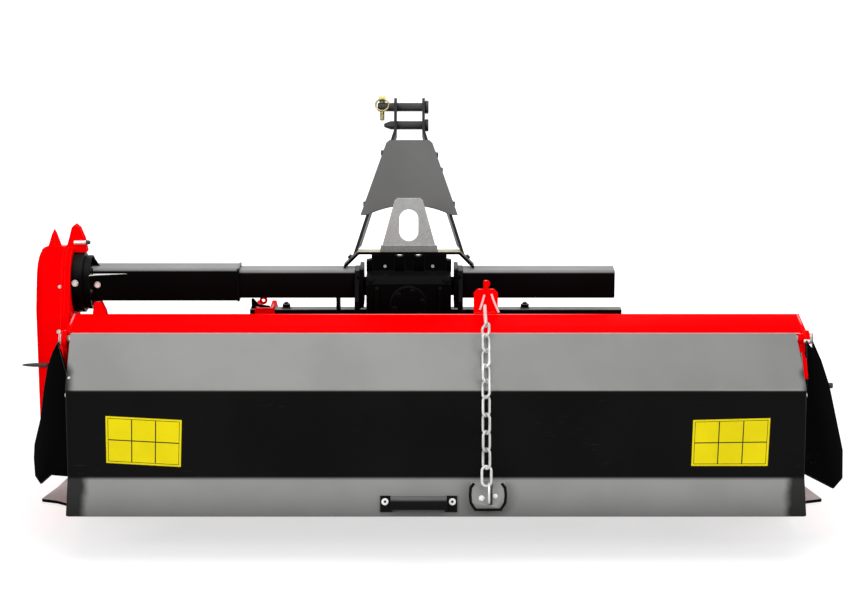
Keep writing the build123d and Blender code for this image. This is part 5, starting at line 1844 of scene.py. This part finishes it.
    def build_bolts(self) -> None:
        """The cover's face bolts, the flange's bolts, the case's plugs and the ear's cross pin."""
        face = self.outline(self.outer_x + 3.0, 26.0)[1:12:5]
        HARDWARE.fix("case_face_bolts", Fastener.HEX, face, LEFT, 5.6, ZINC)
        spots = ring_of(at(-728.4, *self.top), RIGHT, 45.0, 6, 30.0)
        HARDWARE.fix("sleeve_flange_bolts", Fastener.HEX, spots, RIGHT, 6.0, DARK_STEEL)
        for name, spot, way, size, finish in self.plugs:
            HARDWARE.fix(name, Fastener.HEX, [at(*spot)], Vector(way), size, finish)
        pin = at(*self.ear_pin)
        settle(BENCH.turned("ear_cross_pin", self.pin, pin, RIGHT, 16), Body.ROOT, BRIGHT)
        tip = pin + step(26.0, 0.0, 0.0)
        settle(BENCH.turned("ear_pin_tip", self.pin_tip, tip, RIGHT, 16), Body.ROOT, DARK_STEEL)

    def build_gussets(self) -> None:
        """The gussets between the sleeve's flange and its tube, the flange's rim and the root's bead; the rear
        gusset and the bead carry a near-white painted highlight on top.
        """
        # The rear gusset's top is painted near white, a painted highlight.
        back = [at(x, y, 503.0) for x, y in self.rear_gusset]
        settle(BENCH.plate("sleeve_rear_gusset", back, step(0.0, 0.0, 5.0)), Body.ROOT, RIB_BLACK)
        top = BENCH.plate("sleeve_top_gusset", across(-3.0, self.top_gusset), step(0.0, 6.0, 0.0), 1.0)
        settle(top, Body.ROOT, DEEP_BLACK)
        rim = BENCH.turned("sleeve_flange_rim", self.flange_rim, at(-742.0, *self.top), RIGHT, 48)
        settle(rim, Body.ROOT, DEEP_BLACK)
        # A weld bead at the tube's root, its top painted near white as a painted highlight.
        bead = BENCH.wire("sleeve_root_bead", [at(*place) for place in self.root_bead], 1.8)
        settle(bead, Body.ROOT, RIB_BLACK)

    def build_foot(self) -> None:
        """The red foot under the sleeve, welded to the hood."""
        foot = BENCH.plate("sleeve_foot", across(-44.0, self.foot), step(0.0, 24.0, 0.0), 2.0, 3)
        settle(foot, Body.ROOT, RED)
        weld("sleeve_foot_bead", [(at(-726.0, -45.0, 420.5), at(-693.0, -45.0, 420.5))], 2.6, RED)


@dataclass
class Middle:
    """The gearbox, its saddle, the bridge over it and the slotted bracket."""

    x: float = -57.0
    rear: float = -72.0
    saddle_top: float = 518.0
    bracket_foot: float = 549.6
    shade_strip: tuple[Flat, ...] = ((-118.6, 549.6), (5.0, 549.6), (2.5, 562.5), (-116.1, 562.5))
    fold_ends: tuple[Flat, ...] = ((-116.0, 563.6), (2.4, 563.6))
    lid: tuple[Flat, ...] = ((90.0, 505.0), (90.0, 529.0), (79.0, 531.0), (79.0, 543.4))
    window: float = 10.0
    window_middle: float = 20.0
    window_start: float = 20.0

    def build(self) -> None:
        """Builds and dresses the middle."""
        for node, finish, width in (
            ("gearbox", CASTING, 4.0),
            ("bridge_plate", BRIDGE_BLACK, 1.2),
            ("right_beam", BLACK, 0.8),
            ("beam_prop_left", BLACK, 1.0),
            ("beam_prop_right", BLACK, 1.0),
        ):
            edged(node, finish, width, 3)
        for _, word, _ in SIDES:
            node = f"saddle_plate_{word}"
            settle(BENCH.trimmed(node, at(0.0, 0.0, self.saddle_top), UP, 1.4), Body.ROOT, DEEP_BLACK, node)
        self.build_bracket()
        self.build_lid()
        self.build_bolts()
        self.build_ribs()

    def build_bracket(self) -> None:
        """The slotted bracket with its low fold and, under it, a darker strip of painted shade."""
        bracket = BENCH.trimmed("slot_bracket", at(0.0, 0.0, self.bracket_foot), -UP, 0.8)
        settle(bracket, Body.ROOT, GALVANISED, "slot_bracket")
        # A thin plate of darker zinc over the bracket's foot, painted shade.
        shade_strip = BENCH.plate("slot_bracket_shade_strip", across(-11.1, self.shade_strip), step(0.0, -1.0, 0.0), 0.4)
        settle(shade_strip, Body.ROOT, BRACKET_FOOT_SHADE)
        settle(BENCH.wire("slot_bracket_fold", across(-11.6, self.fold_ends), 1.3), Body.ROOT, GALVANISED)

    def build_lid(self) -> None:
        """The plate that closes the room between the gearbox and the bridge, with its two windows."""
        first, edge = radians(self.window_start), self.lid[-1][1]
        window = []
        for index in range(9):
            turn = first + (pi - 2 * first) * index / 8
            drop = self.window * (sin(turn) - sin(first))
            window.append((self.window * cos(turn) / cos(first), edge - drop))
        left = [(-x, z) for x, z in reversed(self.lid)]
        outline = [left.pop(), *self.lid]
        for middle in (self.window_middle, -self.window_middle):
            outline += [(middle + x, z) for x, z in window]
        outline += left
        places = across(-4.0, [(self.x + x, z) for x, z in outline])
        settle(BENCH.plate("gearbox_lid", places, step(0.0, 24.0, 0.0), 1.0), Body.ROOT, CASTING)

    def build_bolts(self) -> None:
        """The cap's bolts, the corner bosses, the lid's bolts, the saddle's bolts and the bridge's bolts."""
        cap = at(self.x, self.rear - 8.0, 451.0)
        HARDWARE.fix("rear_cap_bolts", Fastener.HEX, ring_of(cap, FRONT, 30.0, 6, 30.0), REAR, 5.4, CASTING)
        corners = [at(self.x + side * 80.0, -63.0, 499.0) for side in (-1, 1)]
        slant = Vector((0.0, -0.75, 0.66))
        HARDWARE.fix("gearbox_corner_bosses", Fastener.DOME, corners, slant, 10.0, CASTING)
        tops = [at(self.x + side * 50.5, -4.0, 518.0) for side in (-1, 1)]
        HARDWARE.fix("gearbox_lid_bolts", Fastener.HEX, tops, REAR, 4.4, ZINC)
        for side, word, way in SIDES:
            spots = [at(self.x + side * 104.0, y, z) for y in (-36.0, 36.0) for z in (503.0, 443.0)]
            HARDWARE.fix(f"saddle_bolts_{word}", Fastener.HEX, spots, way, 7.5, CASTING)
        for side, word, _ in SIDES:
            foot, slant = at(self.x + side * 124.0, 9.0, 535.0), Vector((side * 0.72, 0.0, 0.69))
            HARDWARE.fix(f"bridge_bolt_{word}", Fastener.HEX, [foot], slant, 6.0, BLACK)

    def build_ribs(self) -> None:
        """The cast ribs on the gearbox's rear face."""
        ribs = []
        for side in (-1, 1):
            x = self.x + side * 70.0
            outline = [at(x, self.rear + 3.0, z) for z in (430.0, 490.0)]
            outline += [at(x, self.rear - 7.0, z) for z in (484.0, 436.0)]
            ribs.append(BENCH.plate("rib", outline, step(-side * 8.0, 0.0, 0.0), 2.5, 3))
        settle(BENCH.join("gearbox_ribs", ribs), Body.ROOT, CASTING)


@dataclass
class Mast:
    """The leaning mast: two bars, the guard plate and the top link's pins."""

    x: float = -57.0
    foot: Flat = (20.0, 519.0)
    lean: float = 31.5
    bolts: tuple[Flat, ...] = ((-60.0, 249.0), (-97.0, 131.0), (61.0, 244.0), (71.0, 209.0), (97.0, 131.0))
    second_pin: tuple[Flat, ...] = (
        (0.0, 0.0),
        (3.0, 0.0),
        (5.0, 3.0),
        (9.3, 15.0),
        (9.3, 89.0),
        (13.0, 89.4),
        (13.4, 91.0),
        (13.4, 96.0),
        (12.4, 96.8),
        (0.0, 96.8),
    )
    second_pin_place: Point = (-112.5, 186.84, 791.3)

    def build(self) -> None:
        """Builds and dresses the mast."""
        for _, word, _ in SIDES:
            edged(f"mast_bar_{word}", BAR_BLACK, 1.2, 3)
        edged("mast_guard", GUARD_BLACK, 1.0, 3)
        edged("top_link_pin", DARK_STEEL, 2.0, 3, 60.0)
        cross = BENCH.turned("mast_second_pin", self.second_pin, at(*self.second_pin_place), RIGHT, 28)
        settle(cross, Body.ROOT, DARK_STEEL, "mast_cross_pin")
        edged("lynch_pin", YELLOW_ZINC, 0.8, 2, 50.0)
        for side, word, way in SIDES:
            spots = [self.leaned(x - side * 4.0, -13.0, up) for x, up in self.bolts if x * side > 0.0]
            HARDWARE.fix(f"guard_bolts_{word}", Fastener.HEX, spots, way, 7.0, DARK_STEEL)

    def leaned(self, x: float, y: float, up: float) -> Vector:
        """A place on the mast as drawn upright, leaned forward about its foot.

        Args:
            x: millimetres right of the mast's middle.
            y: millimetres forward of its foot line.
            up: millimetres up along it.

        Returns:
            The place in the frame.
        """
        turn = radians(self.lean)
        ahead = y * cos(turn) + up * sin(turn)
        height = up * cos(turn) - y * sin(turn)
        return at(self.x + x, self.foot[0] + ahead, self.foot[1] + height)


@dataclass
class Front:
    """The front: lower hitch brackets, their pins, the input shaft and its guard."""

    left_hitch_top: float = 417.0
    input_cap: Point = (-57.0, 104.0, 409.0)

    def build(self) -> None:
        """Builds and dresses the front."""
        for node, finish, width, segments, body in (
            ("lower_hitch_right", RED, 1.6, 3, Body.ROOT),
            ("lower_pin_left", ZINC, 1.2, 2, Body.ROOT),
            ("lower_pin_right", ZINC, 1.2, 2, Body.ROOT),
            ("pto_guard", PLASTIC, 1.2, 3, Body.ROOT),
            ("pto_shaft", BARE, 0.6, 2, Body.SHAFT),
        ):
            edged(node, finish, width, segments, 50.0, body)
        hitch = BENCH.trimmed("lower_hitch_left", at(0.0, 0.0, self.left_hitch_top), UP, 1.6, 50.0)
        settle(hitch, Body.ROOT, RED, "lower_hitch_left")
        spots = ring_of(at(*self.input_cap), FRONT, 37.0, 6)
        HARDWARE.fix("input_cap_bolts", Fastener.HEX, spots, FRONT, 5.4, ZINC)


@dataclass
class Ground:
    """The rotor with its tines, its bearing, the skids and the side pins."""

    axis: Flat = (-85.0, 205.0)
    flanges: int = 7
    reach: float = 686.0
    flange_half: float = 6.0
    tine_turns: int = 4
    tine_bolt_radius: float = 74.0
    tine_bolt_half: float = 9.0
    tine_bolt_seat: float = 13.0
    left_pin: tuple[Flat, ...] = ((0.0, 0.0), (1.6, 0.6), (3.0, 9.0), (4.2, 24.0), (4.4, 52.0), (0.0, 52.0))
    left_pin_place: Point = (-861.0, -135.0, 334.7)

    def build(self) -> None:
        """Builds and dresses the rotor and the skids."""
        edged("rotor_tube", BLACK, 1.0, 2, 60.0, Body.ROTOR)
        edged("tines", TINE_STEEL, 1.2, body=Body.ROTOR)
        edged("rotor_bearing", CASTING, 3.0, 4)
        spots = ring_of(at(788.0, *self.axis), RIGHT, 42.0, 6, 15.0)
        HARDWARE.fix("bearing_bolts", Fastener.HEX, spots, RIGHT, 6.5, ZINC)
        for _, word, _ in SIDES:
            edged(f"skid_{word}", SKID_BLACK, 1.6, 3)
        right = BENCH.trimmed("side_pins", at(0.0, 0.0, 0.0), LEFT, 1.6, 60.0)
        settle(right, Body.ROOT, DARK_STEEL, "side_pins")
        left = BENCH.turned("left_side_pin", self.left_pin, at(*self.left_pin_place), RIGHT, 16)
        settle(left, Body.ROOT, DARK_STEEL)
        self.build_tine_bolts()
        self.build_beads()

    def flange_places(self) -> list[float]:
        """The rotor flanges' middles along X."""
        return [-self.reach + 2 * self.reach * index / (self.flanges - 1) for index in range(self.flanges)]

    def build_tine_bolts(self) -> None:
        """Two bolts through the root of each tine."""
        turns = self.tine_turns
        for sign, word, way in SIDES:
            spots = []
            for index, x in enumerate(self.flange_places()):
                for turn in range(turns):
                    facing = {0: 1, self.flanges - 1: -1}.get(index, 1 if turn % 2 else -1)
                    if facing != sign:
                        continue
                    angle = radians(360.0 / turns * (turn + index / self.flanges))
                    for side in (-self.tine_bolt_half, self.tine_bolt_half):
                        y = self.axis[0] - sin(angle) * self.tine_bolt_radius + cos(angle) * side
                        z = self.axis[1] + cos(angle) * self.tine_bolt_radius + sin(angle) * side
                        spots.append(at(x + sign * self.tine_bolt_seat, y, z))
            HARDWARE.fix(f"tine_bolts_{word}", Fastener.HEX, spots, way, 7.5, ZINC, Body.ROTOR)

    def build_beads(self) -> None:
        """The weld beads round the rotor's tube at each flange."""
        beads = []
        for x in self.flange_places():
            for side in (-1, 1):
                ring = ring_of(at(x + side * self.flange_half, *self.axis), RIGHT, 39.0, 40)
                beads.append(BENCH.wire("bead", ring, 3.4, closed=True, bumps=0.1))
        settle(BENCH.join("flange_beads", beads), Body.ROTOR, BLACK)


# Studio

WHITE: Colour = (1.0, 1.0, 1.0, 1.0)


@dataclass
class Studio:
    """The floor, the light and the camera."""

    camera_place: Point = (0.0155, -4.7156, 1.5)
    camera_pitch: float = 77.4
    lens: float = 96.1
    world_light: float = 0.45
    floor_reach: float = 14.0
    floor_tone: Flat = (0.5, 0.53)
    glow: float = 0.64
    glow_near: float = 1.0
    glow_far: float = 2.4
    lamps: tuple[tuple[str, Point, float, float], ...] = (
        ("lamp_above", (0.2, -0.6, 3.4), 3.0, 60.0),
        ("lamp_left", (-3.2, -3.4, 2.0), 2.0, 78.0),
        ("lamp_right", (3.2, -3.0, 1.8), 2.0, 56.0),
        ("lamp_front", (0.0, 3.6, 2.4), 2.4, 40.0),
    )
    aim: Point = (0.0, 0.0, 0.4)

    def build(self) -> None:
        """Sets up the whole studio."""
        self.place_camera()
        self.light_world()
        self.hang_lamps()
        self.lay_floor()
        bpy.context.scene.view_settings.view_transform = "Standard"
        log.info("studio: camera, %d lamps and floor", len(self.lamps))

    def place_camera(self) -> None:
        """Stands the camera where the photograph was taken."""
        data = bpy.data.cameras.new("camera")
        data.lens = self.lens
        data.sensor_width = 36.0
        camera = bpy.data.objects.new("camera", data)
        camera.location = self.camera_place
        camera.rotation_euler = (radians(self.camera_pitch), 0.0, 0.0)
        bpy.context.scene.collection.objects.link(camera)
        bpy.context.scene.camera = camera

    def looking_rays(self, net: Net) -> bpy.types.NodeSocket:
        """Masks the rays that look at a thing: the camera's, the glossy and the glass ones.

        Args:
            net: the material's or the world's tree.

        Returns:
            The mask's socket.
        """
        rays = net.add("LightPath").outputs
        seen = net.math("MAXIMUM", rays["Is Camera Ray"], rays["Is Glossy Ray"])
        return net.math("MAXIMUM", seen, rays["Is Transmission Ray"])

    def light_world(self) -> None:
        """Gives the world a soft grey light and a white look."""
        world = bpy.data.worlds.new("studio_light")
        world.use_nodes = True
        world.node_tree.nodes.clear()
        net = Net(world.node_tree)
        soft = net.add("Background", {"Color": WHITE, "Strength": self.world_light}).outputs[0]
        white = net.add("Background", {"Color": WHITE, "Strength": 1.0}).outputs[0]
        both = net.add("MixShader", {0: self.looking_rays(net), 1: soft, 2: white}).outputs[0]
        net.add("OutputWorld", {"Surface": both})
        bpy.context.scene.world = world

    def hang_lamps(self) -> None:
        """Hangs the soft lamps, each aimed at the middle of the machine."""
        for name, place, size, power in self.lamps:
            data = bpy.data.lights.new(name, "AREA")
            data.size = size
            data.energy = power
            lamp = bpy.data.objects.new(name, data)
            lamp.location = place
            lamp.rotation_euler = (Vector(self.aim) - Vector(place)).to_track_quat("-Z", "Y").to_euler()
            bpy.context.scene.collection.objects.link(lamp)

    def lay_floor(self) -> None:
        """Lays a wide pale floor that keeps the machine's soft shadow."""
        under_skids = (0.0, 0.0, -0.0005)
        floor = BENCH.primitive("studio_floor", "plane", size=2 * self.floor_reach, location=under_skids)
        material = bpy.data.materials.new("studio_floor")
        material.use_nodes = True
        material.node_tree.nodes.clear()
        net = Net(material.node_tree)
        speck = net.spread(net.noise(40.0, 2.0), 0.3, 0.7, *self.floor_tone)
        tone = net.add("CombineColor", {0: speck, 1: speck, 2: speck}).outputs[0]
        diffuse = net.add("BsdfDiffuse", {"Color": tone})
        place = net.add("TexCoord").outputs["Object"]
        away = net.add("VectorMath", {0: place}, operation="LENGTH").outputs["Value"]
        rise = net.spread(away, self.glow_near, self.glow_far, self.glow, 1.0)
        strength = net.math("MULTIPLY", self.looking_rays(net), rise)
        glow = net.add("Emission", {"Color": WHITE, "Strength": strength})
        both = net.add("AddShader", {0: diffuse.outputs[0], 1: glow.outputs[0]})
        net.add("OutputMaterial", {"Surface": both.outputs[0]})
        floor.data.materials.append(material)


def main() -> None:
    """Builds the studio, dresses the frame and adds the fine pieces."""
    Studio().build()
    dress_frame()
    for part in (Gate(), Chain(), Hood(), DriveSide(), Middle(), Mast(), Front(), Ground()):
        part.build()
        log.info("%s done", type(part).__name__)
    HARDWARE.put_away()


if __name__ == "__main__":
    main()
